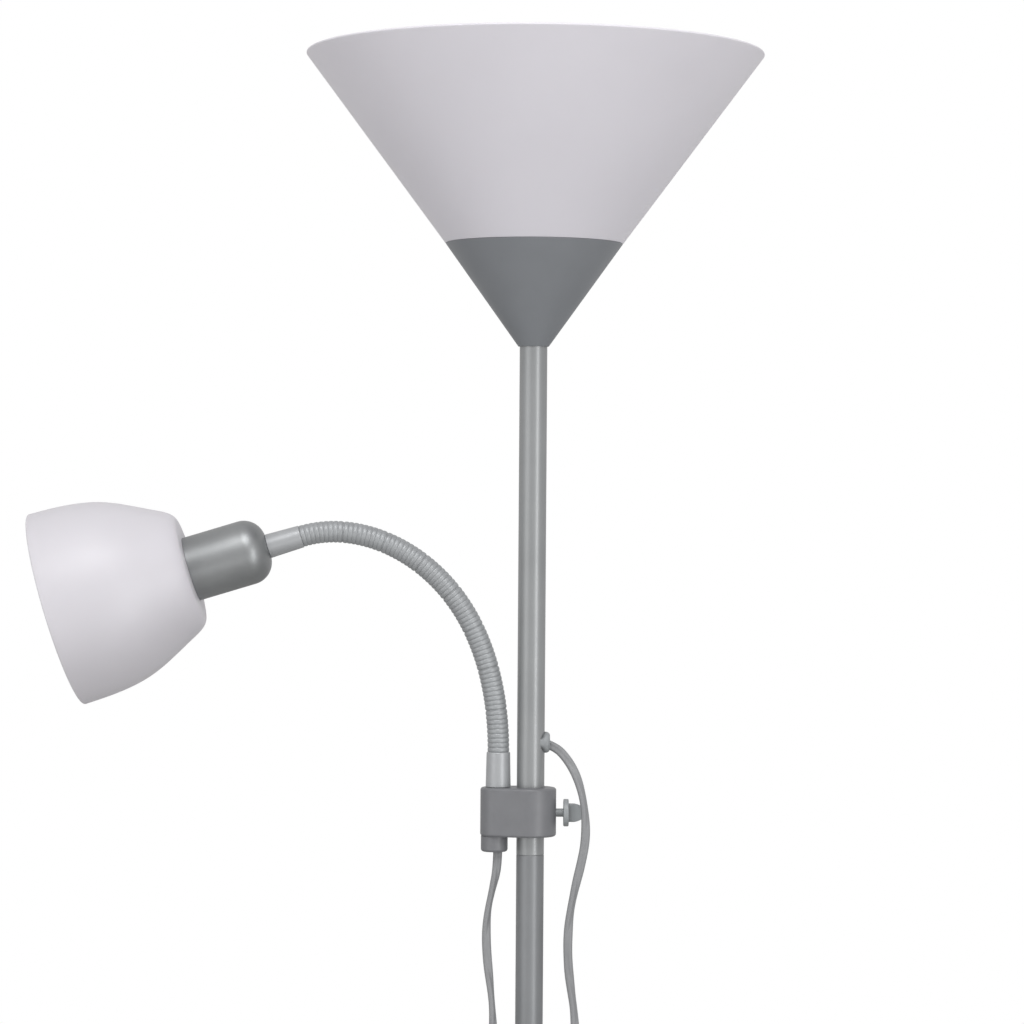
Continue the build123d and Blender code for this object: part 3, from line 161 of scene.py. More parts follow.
upper_route = [
    (6.2, 0.0, 1441.0), (13.6, 0.0, 1438.6), (19.9, -2.2, 1432.0), (24.9, -6.4, 1423.5),
    (28.2, -10.6, 1412.5), (29.9, -13.2, 1400.0), (29.7, -15.2, 1388.0), (27.3, -16.6, 1376.0),
    (24.0, -17.6, 1363.0), (21.3, -18.3, 1349.0), (20.4, -18.7, 1335.0), (20.8, -18.9, 1322.0),
    (22.4, -18.8, 1309.0), (24.2, -18.5, 1297.0), (24.9, -18.3, 1285.0), (23.4, -18.4, 1272.0),
    (18.8, -18.8, 1260.0), (11.0, -19.3, 1250.5), (1.0, -19.6, 1243.5), (-9.0, -19.4, 1237.5),
    (-17.4, -18.6, 1230.5), (-22.8, -17.5, 1222.0), (-24.7, -17.0, 1213.3), (-23.52, -17.0, 1203.41),
]
reading_route = [
    (-17.6, 0.0, 1384.5), (-17.6, 0.0, 1373.0), (-20.3, -0.8, 1361.5), (-22.9, -2.0, 1349.5),
    (-23.6, -3.7, 1337.0), (-22.9, -5.6, 1324.0), (-21.3, -7.6, 1311.0), (-19.9, -9.6, 1298.0),
    (-19.3, -11.4, 1285.0), (-20.1, -13.1, 1272.0), (-22.5, -14.6, 1259.0), (-25.8, -15.7, 1246.5),
    (-29.2, -16.5, 1234.5), (-31.4, -16.9, 1223.0), (-31.65, -17.0, 1212.52), (-30.48, -17.0, 1202.59),
]


def smooth_line(route):
    """Points along the NURBS curve of order 3 whose control points are the route, in millimetres."""
    data = bpy.data.curves.new("route", "CURVE")
    data.dimensions = "3D"
    data.resolution_u = 10
    spline = data.splines.new("NURBS")
    spline.points.add(len(route) - 1)
    spline.points.foreach_set("co", np.c_[np.array(route, float), np.ones(len(route))].ravel())
    spline.order_u = 3
    spline.use_endpoint_u = True
    holder = bpy.data.objects.new("route", data)
    mesh = bpy.data.meshes.new_from_object(holder)
    line = np.zeros(len(mesh.vertices) * 3)
    mesh.vertices.foreach_get("co", line)
    bpy.data.objects.remove(holder)
    bpy.data.meshes.remove(mesh)
    bpy.data.curves.remove(data)
    return line.reshape(-1, 3)


def grid_quads(rows, columns, close_rows, close_columns):
    """Quads between neighbouring rows and columns of a grid, which wrap round where it is closed."""
    row = np.arange(rows if close_rows else rows - 1)[:, None]
    column = np.arange(columns if close_columns else columns - 1)[None, :]
    next_row = (row + 1) % rows
    next_column = (column + 1) % columns
    corners = np.broadcast_arrays(
        row * columns + column, row * columns + next_column, next_row * columns + next_column,
        next_row * columns + column)
    return np.stack(corners, -1).reshape(-1, 4)


def surface(name, grid, close_rows, close_columns, sharp=35.0):
    """A mesh piece over a grid of points (rows, columns, 3) in millimetres. Points that meet are merged."""
    rows, columns = grid.shape[:2]
    mesh = bpy.data.meshes.new(name)
    mesh.from_pydata(grid.reshape(-1, 3) * MM, [], grid_quads(rows, columns, close_rows, close_columns))
    merged = bmesh.new()
    merged.from_mesh(mesh)
    bmesh.ops.remove_doubles(merged, verts=merged.verts, dist=1e-7)
    merged.to_mesh(mesh)
    merged.free()
    mesh.shade_smooth()
    mesh.set_sharp_from_angle(angle=math.radians(sharp))
    piece = bpy.data.objects.new(name, mesh)
    bpy.context.scene.collection.objects.link(piece)
    return piece


def dress(piece, material, body, slot, *nodes):
    """Gives a piece its finish and its body, and hides the nodes that it stands for. Its slot is not used."""
    piece.data.materials.clear()
    piece.data.materials.append(material)
    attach(piece, body)
    if nodes:
        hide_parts(*nodes)
    return piece


def carried_section(line, section, up, roll=0.0, scale=1.0):
    """A closed section (columns, 2) carried along a line, rolled by an angle and scaled at each point.

    The two side directions start from up and are turned by each step's own bend, so they never twist by
    themselves. The roll then turns them about the line.
    """
    tangent = np.gradient(line, axis=0)
    tangent /= np.linalg.norm(tangent, axis=1, keepdims=True)
    across = np.zeros_like(line)
    start = np.cross(tangent[0], up)
    across[0] = start / np.linalg.norm(start)
    for step in range(1, len(line)):
        side = across[step - 1] - tangent[step] * (across[step - 1] @ tangent[step])
        across[step] = side / np.linalg.norm(side)
    upward = np.cross(across, tangent)
    roll = np.broadcast_to(roll, len(line))[:, None]
    turned = across * np.cos(roll) + upward * np.sin(roll)
    raised = upward * np.cos(roll) - across * np.sin(roll)
    scale = np.broadcast_to(scale, len(line))[:, None, None]
    return line[:, None] + scale * (
        section[None, :, :1] * turned[:, None] + section[None, :, 1:] * raised[:, None])


def capped(grid):
    """Closes both ends of a carried section by drawing its first and last rows into their middles."""
    first = np.broadcast_to(grid[0].mean(0), grid[0].shape)
    last = np.broadcast_to(grid[-1].mean(0), grid[-1].shape)
    return np.concatenate([first[None], grid, last[None]])


def twin_section(width, radius, web, steps=48):
    """Two round cores with a web between them: the outline is the furthest of the three in each direction."""
    angle = np.linspace(0, 2 * np.pi, steps, endpoint=False)
    offset = width / 2 - radius
    reach = offset * np.abs(np.cos(angle)) + np.sqrt(radius ** 2 - (offset * np.sin(angle)) ** 2)
    flat = web / np.maximum(np.abs(np.sin(angle)), 1e-6)
    reach = np.where(flat * np.abs(np.cos(angle)) < offset, np.maximum(reach, flat), reach)
    return np.c_[reach * np.cos(angle), reach * np.sin(angle)]


def clouded(name, low, high, cloud, cloud_detail, skin, polish=None, grain=None, grain_detail=2,
            grain_strength=0.0, grain_depth=0.0):
    """A finish whose colour drifts between two tones in clouds of a given size.

    skin holds the surface's constant settings. Where polish is given, the roughness runs between its two
    values with the same clouds. Where a grain is given, a finer noise of that size raises a relief. Real
    grain is finer still, and is drawn as coarse as it needs to show.
    """
    material, tree = new_finish(name)
    place = node(tree, "ShaderNodeTexCoord").outputs["Object"]
    drift = node(tree, "ShaderNodeTexNoise", {"Vector": place, "Scale": 1 / cloud, "Detail": cloud_detail})
    tone = node(tree, "ShaderNodeMix", {0: drift.outputs["Fac"], 6: linear(low), 7: linear(high)},
                data_type="RGBA")
    inputs = {"Base Color": tone.outputs[2], **skin}
    if polish:
        gloss = node(tree, "ShaderNodeMapRange", {0: drift.outputs["Fac"], 3: polish[0], 4: polish[1]})
        inputs["Roughness"] = gloss.outputs[0]
    if grain:
        grit = node(tree, "ShaderNodeTexNoise", {"Vector": place, "Scale": 1 / grain, "Detail": grain_detail})
        relief = node(tree, "ShaderNodeBump",
                      {"Height": grit.outputs["Fac"], "Strength": grain_strength, "Distance": grain_depth})
        inputs["Normal"] = relief.outputs["Normal"]
    shader = node(tree, "ShaderNodeBsdfPrincipled", inputs)
    node(tree, "ShaderNodeOutputMaterial", {"Surface": shader.outputs[0]})
    return material


# Extruded PVC: an even satin that is slightly scuffed by handling, with a fine matt grain.
flex = clouded("grey_pvc_flex", "#77787A", "#838486", cloud=9 * MM, cloud_detail=4,
               skin={"Roughness": 0.48}, grain=0.7 * MM, grain_strength=0.12, grain_depth=0.05 * MM)
turn_wave = 54.0
turn_angle = 38.0
twist_foot, twist_top = 1225.0, 1285.0


def flat_flex(name, line, turn_height):
    """A flat flex along a line: it shows its narrow edge at one height, and again a wave further down."""
    depth = line[:, 2] - turn_height
    fade = np.clip((line[:, 2] - twist_foot) / (twist_top - twist_foot), 0, 1)
    roll = math.radians(turn_angle) * (1 + np.cos(2 * np.pi * depth / turn_wave)) * fade
    section = twin_section(flex_width, flex_core_radius, flex_web)
    return surface(name, capped(carried_section(line, section, (0, 1, 0), roll)), False, True, 60)


upper_line = smooth_line(upper_route)
upper_cord = flat_flex("upper_flex", upper_line, 1409.0)
dress(upper_cord, flex, "stand", "cord_grey", "upper_cord")

reading_line = smooth_line(reading_route)
reading_cord = flat_flex("reading_flex", reading_line, 1355.0)
reading_cord.data.materials.append(flex)
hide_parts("reading_cord")
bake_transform(reading_cord)

# ---------------------------------------------------------------------------
# Mains lead. Round grey PVC cord: from the switch behind the pole, down its
# right side under three ties, out over the floor and into a tied coil.
# ---------------------------------------------------------------------------

mains_diameter = 5.0
coil_middle = (277.5, 50.0)
coil_mid_radius = 27.5
coil_pitch = 5.5
coil_layer = 5.5
coil_turns = 7.5
coil_climb = 0.5
coil_z = 3.75
coil_reach = coil_mid_radius + coil_pitch * coil_turns / 4
coil_start_x = coil_middle[0] - coil_reach
coil_end_x = coil_middle[0] + coil_reach
coil_end_z = coil_z + coil_layer
plug_x = coil_end_x - 4.0
plug_axis_z = 6.9

mains_route = [
    (-16.62, -17.0, 1132.24), (-15.09, -17.0, 1119.33), (-14.4, -13.6, 1109.0), (-13.6, -8.0, 1098.5),
    (-12.9, -1.2, 1088.5), (-11.2, 5.0, 1078.0), (-7.4, 9.4, 1066.0), (-2.4, 11.6, 1052.5),
    (2.6, 11.4, 1038.0), (6.8, 9.2, 1023.5), (9.6, 5.9, 1009.5), (11.4, 2.6, 995.0), (13.0, 0.6, 977.0),
    (14.3, 0.0, 945.0), (14.4, -0.2, 900.0), (13.7, -0.2, 850.0), (13.3, 0.0, 812.0), (13.2, 0.0, 770.0),
    (12.2, 0.1, 722.0), (12.9, 0.1, 672.0), (13.8, 0.0, 628.0), (13.9, 0.0, 580.0), (13.0, -0.1, 525.0),
    (12.2, -0.1, 470.0), (12.4, 0.0, 415.0), (13.6, 0.1, 360.0), (14.7, 0.0, 312.0), (15.0, 0.6, 279.0),
    (15.9, 3.2, 247.0), (18.8, 9.0, 219.0), (24.8, 20.0, 190.0), (33.5, 36.0, 160.5), (45.0, 56.0, 131.0),
    (60.5, 79.5, 104.0), (78.5, 105.0, 79.0), (97.5, 130.5, 56.5), (117.5, 155.0, 37.0), (138.5, 177.0, 21.5),
    (161.0, 192.5, 10.5), (184.5, 197.5, 4.2), (206.5, 189.0, 2.6), (223.5, 170.0, 2.6), (233.5, 146.0, 2.6),
    (238.2, 121.0, 2.7), (239.9, 97.0, 3.0), (coil_start_x, 75.0, coil_z),
]


def coil_route(points_per_turn=16):
    """The coil's control points.

    The radius falls at a steady rate to the middle and grows again, and the height climbs one layer in a
    half cosine about the middle. The ring is drawn a little large, because the curve cuts its corners.
    """
    turns = np.arange(0, coil_turns + 1e-9, 1 / points_per_turn)
    past = turns - coil_turns / 2
    share = np.clip(past / coil_climb + 0.5, 0, 1)
    radius = coil_mid_radius + coil_pitch * (np.abs(past) - coil_turns / 4)
    radius = radius / (0.75 + 0.25 * math.cos(2 * math.pi / points_per_turn))
    angle = math.pi + 2 * math.pi * turns
    height = coil_z + coil_layer * (1 - np.cos(math.pi * share)) / 2
    return np.c_[coil_middle[0] + radius * np.cos(angle), coil_middle[1] + radius * np.sin(angle), height]


tail_route = [
    (coil_end_x, coil_middle[1] + 18.0, coil_end_z), (plug_x, coil_middle[1] + 42.0, plug_axis_z),
    (plug_x, coil_middle[1] + 55.0, plug_axis_z),
]
mains_points = np.concatenate([np.array(mains_route), coil_route(), np.array(tail_route)])
mains_data = bpy.data.curves.new("mains_lead", "CURVE")
mains_data.dimensions = "3D"
mains_data.resolution_u = 5
mains_data.bevel_depth = mains_diameter / 2 * MM
mains_data.bevel_resolution = 3
mains_data.use_fill_caps = True
mains_spline = mains_data.splines.new("NURBS")
mains_spline.points.add(len(mains_points) - 1)
mains_spline.points.foreach_set("co", np.c_[mains_points * MM, np.ones(len(mains_points))].ravel())
mains_spline.order_u = 3
mains_spline.use_endpoint_u = True
mains_lead = bpy.data.objects.new("mains_lead", mains_data)
bpy.context.scene.collection.objects.link(mains_lead)
dress(mains_lead, flex, "stand", "cord_grey", "mains_cord", "mains_coil", "plug_lead")
mains_line = smooth_line(mains_points)
mains_run = np.r_[0, np.cumsum(np.linalg.norm(np.diff(mains_line, axis=0), axis=1))]

# A moulded relief narrows over the cord where it leaves the switch, in five ribs.
relief_length = 24.0
relief_foot = 4.1
relief_tip = 2.75
rib_depth = 0.22
ribs = 5
relief_places = np.linspace(0, relief_length, 61)
relief_line = np.stack([np.interp(relief_places, mains_run, mains_line[:, axis]) for axis in range(3)], 1)
relief_share = relief_places / relief_length
relief_radius = (relief_foot + (relief_tip - relief_foot) * relief_share
                 - rib_depth * (1 + np.cos(2 * np.pi * ribs * relief_share)) * (1 - relief_share))
round_angle = np.linspace(0, 2 * np.pi, 40, endpoint=False)
round_section = np.c_[np.cos(round_angle), np.sin(round_angle)]
strain_relief = surface("switch_strain_relief", capped(
    carried_section(relief_line, round_section, (0, 1, 0), 0.0, relief_radius)), False, True, 50)
dress(strain_relief, flex, "stand", "cord_grey")

# ---------------------------------------------------------------------------
# Base cover. Pressed steel dome in silver grey enamel: a fine orange-peel
# lacquer over the pressing, with its rim turned in under the edge.
# ---------------------------------------------------------------------------


def rounded(corners, closed=True, step=8.0):
    """An outline through corners (x, y, radius), each rounded by the arc that touches both its sides."""
    count = len(corners)
    outline = []
    for index, (x, y, radius) in enumerate(corners):
        here = np.array((x, y), float)
        if radius == 0 or (not closed and index in (0, count - 1)):
            outline.append(here[None])
            continue
        before = np.array(corners[index - 1][:2], float)
        after = np.array(corners[(index + 1) % count][:2], float)
        run_in = (here - before) / np.linalg.norm(here - before)
        run_out = (after - here) / np.linalg.norm(after - here)
        side = np.array((-run_in[1], run_in[0]))
        turn = math.atan2(run_out @ side, run_out @ run_in)
        if turn < 0:
            side = -side
        start = here - run_in * radius * math.tan(abs(turn) / 2)
        angle = np.linspace(0, abs(turn), max(3, int(math.degrees(abs(turn)) / step) + 1))[:, None]
        outline.append(start + radius * (run_in * np.sin(angle) + side * (1 - np.cos(angle))))
    return np.concatenate(outline)


def lathe(name, outline, foot=(0, 0, 0), axis=(0, 0, 1), steps=128, closed=True):
    """An outline (radius, height), anticlockwise, turned round an axis through foot, in millimetres."""
    axis = np.array(axis, float) / np.linalg.norm(axis)
    across = np.cross((0, 1, 0), axis) if abs(axis[1]) < 0.9 else np.cross((1, 0, 0), axis)
    across /= np.linalg.norm(across)
    onward = np.cross(axis, across)
    angle = np.linspace(0, 2 * np.pi, steps, endpoint=False)
    ring = np.cos(angle)[:, None] * across + np.sin(angle)[:, None] * onward
    grid = np.array(foot, float) + outline[:, None, :1] * ring[None] + outline[:, None, 1:] * axis
    return surface(name, grid, closed, True)


def arc(centre, radius, start, end, steps):
    """Points on a circle from one angle to another, in degrees, anticlockwise from +x."""
    angle = np.radians(np.linspace(start, end, steps))
    return np.c_[centre[0] + radius * np.cos(angle), centre[1] + radius * np.sin(angle)]


# Baked enamel with a little metal in it: soft wide reflections over a faint orange peel.
enamel = clouded("silver_grey_enamel", "#94979A", "#9EA1A4", cloud=40 * MM, cloud_detail=3,
                 skin={"Metallic": 0.25, "Roughness": 0.40}, grain=1.6 * MM, grain_strength=0.10,
                 grain_depth=0.08 * MM)

cover_low, cover_high = (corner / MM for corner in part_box("base_cover"))
base_radius = cover_high.x
base_height = cover_high.z
sheet = 1.0
shoulder_radius = 36.0
shoulder_height = 16.0
pad_radius = 13.0
rod_hole = 5.2
lip_width = 8.0
shoulder_x = base_radius - shoulder_radius
rise = base_height - shoulder_height
crown_run = shoulder_x - pad_radius
crown_radius = (crown_run ** 2 + rise ** 2 - shoulder_radius ** 2) / (2 * (rise - shoulder_radius))
crown_angle = math.degrees(math.asin(crown_run / (crown_radius - shoulder_radius)))


def dome_side(inset):
    """The dome's outline from rim to pad, inset from its skin: upright rim, shoulder arc, crown arc."""
    shoulder = arc((shoulder_x, shoulder_height), shoulder_radius - inset, 0, 90 - crown_angle, 24)
    crown = arc((pad_radius, base_height - crown_radius), crown_radius - inset, 90 - crown_angle, 90, 12)
    return np.concatenate([shoulder, crown[1:]])


hem = rounded([(base_radius - lip_width, cover_low.z, 0.3), (base_radius, cover_low.z, 1.4),
               (base_radius, shoulder_height, 0)], closed=False)
inner_hem = [(base_radius - sheet, cover_low.z + sheet), (base_radius - lip_width, cover_low.z + sheet)]
cover_outline = np.concatenate([
    hem[:-1], dome_side(0), [(rod_hole, base_height), (rod_hole, base_height - sheet)],
    dome_side(sheet)[::-1], inner_hem])
base_cover = lathe("base_dome", cover_outline, steps=192)
dress(base_cover, enamel, "stand", "base_paint", "base_cover")

# ---------------------------------------------------------------------------
# Base tray, ballast and the rod that clamps them. The tray is black moulded
# polypropylene; the ballast is raw cast iron, and the fasteners are zinc plated.
# ---------------------------------------------------------------------------

# Moulded polypropylene from an eroded tool: black, dull and gritty to the eye.
black_moulding = clouded("black_polypropylene", "#26282A", "#313436", cloud=0.9 * MM, cloud_detail=3,
                         skin={"Roughness": 0.55}, grain=0.9 * MM, grain_detail=3, grain_strength=0.2,
                         grain_depth=0.08 * MM)

# Sand-cast iron, unpainted: dark, rough and uneven, with hardly any shine.
cast_iron = clouded("raw_cast_iron", "#3A3A3B", "#565557", cloud=2.5 * MM, cloud_detail=6,
                    skin={"Metallic": 0.7, "Roughness": 0.7}, grain=2.5 * MM, grain_detail=6,
                    grain_strength=0.6, grain_depth=0.3 * MM)

# Bright zinc plate on turned steel: a pale metal with a slightly clouded shine.
zinc = clouded("zinc_plated_steel", "#A9ABAC", "#C3C5C4", cloud=1.2 * MM, cloud_detail=2,
               skin={"Metallic": 1.0, "Roughness": 0.34})


def dressed_node(cad_node, name, material, body, slot, sharp=30.0, bevel=0.0):
    """A merged, smoothly shaded copy of a CAD node's mesh, with its edges broken where a bevel is given."""
    merged = bmesh.new()
    merged.from_mesh(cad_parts[cad_node].data)
    bmesh.ops.remove_doubles(merged, verts=merged.verts, dist=2e-6)
    bmesh.ops.dissolve_degenerate(merged, edges=merged.edges, dist=1e-7)
    mesh = bpy.data.meshes.new(name)
    merged.to_mesh(mesh)
    merged.free()
    mesh.materials.clear()
    mesh.shade_smooth()
    mesh.set_sharp_from_angle(angle=math.radians(sharp))
    piece = bpy.data.objects.new(name, mesh)
    bpy.context.scene.collection.objects.link(piece)
    if bevel:
        edge = piece.modifiers.new("broken_edges", "BEVEL")
        edge.width = bevel * MM
        edge.segments = 2
        edge.limit_method = "ANGLE"
        edge.angle_limit = math.radians(sharp)
    shading = piece.modifiers.new("even_shading", "WEIGHTED_NORMAL")
    shading.keep_sharp = True
    return dress(piece, material, body, slot, cad_node)


def paint_node(cad_node, material):
    """Keeps a CAD node as it is and gives it a finish."""
    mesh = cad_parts[cad_node].data
    mesh.materials.clear()
    mesh.materials.append(material)


dressed_node("base_tray", "tray_moulding", black_moulding, "stand", "tray_plastic")
paint_node("base_ballast", cast_iron)
for fastener in ("base_washer", "base_nut", "base_rod"):
    paint_node(fastener, zinc)

# ---------------------------------------------------------------------------
# Pole. Five lengths of thin steel tube in silver paint, screwed end to end on
# turned couplers. Each seam shows as a hairline between two broken edges.
# ---------------------------------------------------------------------------


def pole_finish(name, low, high, dullness):
    """Metallic lacquer between two tones: fine flakes in a thin clear film, cloudy over some centimetres.

    Real flakes are a few hundredths of a millimetre wide. They are drawn at 0.45 mm so that they show.
    """
    material, tree = new_finish(name)
    place = node(tree, "ShaderNodeTexCoord").outputs["Object"]
    cells = node(tree, "ShaderNodeTexVoronoi", {"Vector": place, "Scale": 1 / (0.45 * MM)})
    flake = cells.outputs["Distance"]
    cloud = node(tree, "ShaderNodeTexNoise", {"Vector": place, "Scale": 1 / (25 * MM), "Detail": 3})
    fleck = node(tree, "ShaderNodeMapRange", {0: flake, 1: 0.0, 2: 0.9, 3: 0.35, 4: 0.65})
    share = node(tree, "ShaderNodeMath", {0: fleck.outputs[0], 1: cloud.outputs["Fac"]}, operation="MULTIPLY")
    tone = node(tree, "ShaderNodeMix", {0: share.outputs[0], 6: linear(low), 7: linear(high)},
                data_type="RGBA")
    gloss = node(tree, "ShaderNodeMapRange", {0: flake, 1: 0.0, 2: 0.9, 3: dullness, 4: dullness + 0.12})
    relief = node(tree, "ShaderNodeBump", {"Height": flake, "Strength": 0.05, "Distance": 0.04 * MM})
    skin = node(tree, "ShaderNodeBsdfPrincipled", {
        "Base Color": tone.outputs[2], "Metallic": 0.4, "Roughness": gloss.outputs[0],
        "Normal": relief.outputs["Normal"]})
    node(tree, "ShaderNodeOutputMaterial", {"Surface": skin.outputs[0]})
    return material


# The four lower lengths have the same paint as the top length, in a darker and duller copy: the darker tone
# is painted shade.
silver = pole_finish("silver_metallic_paint", "#858788", "#9EA0A1", 0.30)
shaded_lower_silver = pole_finish("silver_metallic_paint_painted_shade", "#76787A", "#8B8D8F", 0.37)

pole_radius = 7.5
pole_bore = 6.6
for number in range(1, 6):
    section = f"pole_section_{number}"
    low, high = (corner.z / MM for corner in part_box(section))
    outline = rounded([
        (pole_bore, low, 0), (pole_radius, low, 0.3), (pole_radius, high, 0.3), (pole_bore, high, 0)])
    dress(lathe(f"pole_tube_{number}", outline, steps=72), silver if number == 5 else shaded_lower_silver,
          "stand", "pole_paint", section)
for hidden in ("pole_couplers", "pole_plugs", "uplight_nipple", "uplight_nut"):
    paint_node(hidden, zinc)

# The collar is a turned steel ring that hides the joint between pole and base. Its nickel plate gives
# sharp bright reflections, with a light haze.
bright = clouded("bright_nickel_plate", "#CBCCCB", "#CBCCCB", cloud=6 * MM, cloud_detail=3,
                 skin={"Metallic": 1.0}, polish=(0.12, 0.22))
pole_sleeve = 7.55
collar_low, collar_high = (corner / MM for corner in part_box("pole_collar"))
collar_outline = rounded([
    (pole_sleeve, collar_low.z, 0), (collar_high.x, collar_low.z, 0.3),
    (collar_high.x, collar_high.z, 1.2), (pole_sleeve, collar_high.z, 0.4)])
dress(lathe("collar_ring", collar_outline, steps=96), bright, "stand", "collar_chrome", "pole_collar")

# ---------------------------------------------------------------------------
# Uplight cone. Moulded ABS in flat mid grey: it sleeves over the pole's end
# and clamps the white shade, which sits in its mouth with a fine joint line.
# ---------------------------------------------------------------------------

# Moulded ABS: a flat even grey, slightly dulled by the tool's fine spark-eroded face.
grey_abs = clouded("mid_grey_abs", "#717478", "#797C80", cloud=22 * MM, cloud_detail=3,
                   skin={"Roughness": 0.46}, grain=0.6 * MM, grain_strength=0.14, grain_depth=0.05 * MM)

cone_low, cone_high = (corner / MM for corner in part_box("uplight_cone"))
cone_foot_radius = 8.3
cone_top_radius = 48.3
cone_wall = 1.2
web_hole = 5.0
pole_top = cone_low.z + 8.0
web_top = pole_top + 2.0
cone_slope = (cone_top_radius - cone_foot_radius) / (cone_high.z - cone_low.z)
cone_run = cone_wall * math.hypot(1, cone_slope)
web_radius = cone_foot_radius + cone_slope * (web_top - cone_low.z) - cone_run
cone_outline = rounded([
    (pole_sleeve, cone_low.z, 0.15), (cone_foot_radius, cone_low.z, 0.3),
    (cone_top_radius, cone_high.z, 0.35),
    (cone_top_radius - cone_run, cone_high.z, 0.2), (web_radius, web_top, 0.8), (web_hole, web_top, 0),
    (web_hole, pole_top, 0), (pole_sleeve, pole_top, 0)])
dress(lathe("cone_moulding", cone_outline, steps=160), grey_abs, "stand", "cone_paint", "uplight_cone")

# ---------------------------------------------------------------------------
# Uplight shade. Milky polypropylene, moulded 1.5 mm thin: it lets a little
# light through, so its skin reads soft and even, with a satin moulded face.
# ---------------------------------------------------------------------------


def milky_finish(name, low, high):
    """Milky moulded polypropylene between two tones: a soft satin, with a little light in its skin."""
    return clouded(name, low, high, cloud=60 * MM, cloud_detail=2, skin={
        "Roughness": 0.42, "Subsurface Weight": 0.25, "Subsurface Radius": (1.0, 0.95, 0.9),
        "Subsurface Scale": 4 * MM}, grain=0.8 * MM, grain_strength=0.10, grain_depth=0.05 * MM)


milky = milky_finish("milky_polypropylene", "#CCCAD0", "#D2D0D6")

shade_low, shade_high = (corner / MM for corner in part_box("uplight_shade"))
rim_radius = 125.0
shade_wall = 1.5
shade_hole = 20.25
nest_gap = 0.3
shade_slope = (rim_radius - cone_top_radius) / (shade_high.z - cone_high.z)
shade_run = shade_wall * math.hypot(1, shade_slope)
nest_top = cone_top_radius - cone_run - nest_gap
nest_foot = cone_foot_radius + cone_slope * (shade_low.z - cone_low.z) - cone_run - nest_gap
shade_outline = rounded([
    (shade_hole, shade_low.z, 0), (nest_foot, shade_low.z, 1.0), (nest_top, cone_high.z, 0.3),
    (cone_top_radius, cone_high.z, 0.4), (rim_radius, shade_high.z, 0.75),
    (rim_radius - shade_run, shade_high.z, 0.75), (nest_top - shade_run, cone_high.z, 1.0),
    (nest_foot - 1.0, shade_low.z + shade_wall, 1.0), (shade_hole, shade_low.z + shade_wall, 0)])
dress(lathe("white_bowl", shade_outline, steps=224), milky, "stand", "shade_plastic", "uplight_shade")

# ---------------------------------------------------------------------------
# Lampholder, shade ring and bulb of the uplight. The holder and its fluted
# ring are ivory thermoplastic; the bulb is opal glass on a threaded cap.
# ---------------------------------------------------------------------------

# Pressed thermoplastic from a polished tool: warm ivory with a clean shine.
ivory = clouded("ivory_thermoplastic", "#E2E0DA", "#EAE8E3", cloud=12 * MM, cloud_detail=2,
                skin={"Roughness": 0.3})
paint_node("uplight_holder_cap", ivory)
dressed_node("uplight_holder", "holder_moulding", ivory, "stand", "holder_plastic")
dressed_node("uplight_ring", "shade_ring", ivory, "stand", "holder_plastic", bevel=0.4)

# Blown glass, frosted white inside: a glossy skin over a milky body that glows a little at its edges.
opal = clouded("opal_bulb_glass", "#EFEEEA", "#F5F4F1", cloud=15 * MM, cloud_detail=2, skin={
    "Roughness": 0.12, "Subsurface Weight": 0.4, "Subsurface Radius": (1.0, 1.0, 1.0),
    "Subsurface Scale": 5 * MM, "Coat Weight": 0.5, "Coat Roughness": 0.04})


def cubic(share, start, leave, end, arrive):
    """Points of the cubic that leaves one point and arrives at another with given slopes."""
    return ((2 * share ** 3 - 3 * share ** 2 + 1) * start + (share ** 3 - 2 * share ** 2 + share) * leave
            + (-2 * share ** 3 + 3 * share ** 2) * end + (share ** 3 - share ** 2) * arrive)


def bulb_pieces(name, cad_node, foot, axis, body, cap_radius, cap_length, neck_radius, globe_radius, length):
    """A bulb in two pieces: a cap whose radius waves like a rolled thread, and a pear-shaped glass.

    The glass follows its neck with a cubic that leaves upright and meets the globe along its tangent.
    """
    thread_wave = 0.35
    thread_pitch = cap_length / 6.5
    height = np.linspace(0.18 * cap_length, 0.86 * cap_length, 61)
    thread = cap_radius - thread_wave - thread_wave * np.cos(2 * np.pi * height / thread_pitch)
    cap_outline = np.concatenate([
        [(0, 0), (0.34 * cap_radius, 0), (0.42 * cap_radius, 0.06 * cap_length)], np.c_[thread, height],
        [(cap_radius, 0.92 * cap_length), (cap_radius, cap_length), (0, cap_length)]])
    cap = lathe(name + "_cap", cap_outline, foot, axis, 64, closed=False)
    dress(cap, zinc, body, "bulb_glass")
    globe = length - globe_radius
    join_angle = 35
    join_sine, join_cosine = math.sin(math.radians(join_angle)), math.cos(math.radians(join_angle))
    join = np.array((globe_radius * join_cosine, globe - globe_radius * join_sine))
    start = np.array((neck_radius, cap_length))
    reach = 1.1 * np.linalg.norm(join - start)
    neck = cubic(np.linspace(0, 1, 20)[:, None], start, reach * np.array((0, 1.0)), join,
                 reach * np.array((join_sine, join_cosine)))
    dome = arc((0, globe), globe_radius, -join_angle, 90, 40)
    glass_outline = np.concatenate([
        [(0, cap_length), (neck_radius - 0.6, cap_length)], neck, dome[1:-1], [(0, length)]])
    glass = lathe(name + "_glass", glass_outline, foot, axis, 96, closed=False)
    return dress(glass, opal, body, "bulb_glass", cad_node)


bulb_low, bulb_high = (corner.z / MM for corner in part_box("bulb_large"))
bulb_pieces("large_bulb", "bulb_large", (0, 0, bulb_low), (0, 0, 1), "stand", cap_radius=13.1,
            cap_length=28.0, neck_radius=14.5, globe_radius=30.0, length=bulb_high - bulb_low)

# ---------------------------------------------------------------------------
# Clamp block, thumb screw and cord gland. Glass-filled nylon in mid grey; the
# block is pinched to the pole by the thumb screw, the gland pushed in below.
# ---------------------------------------------------------------------------


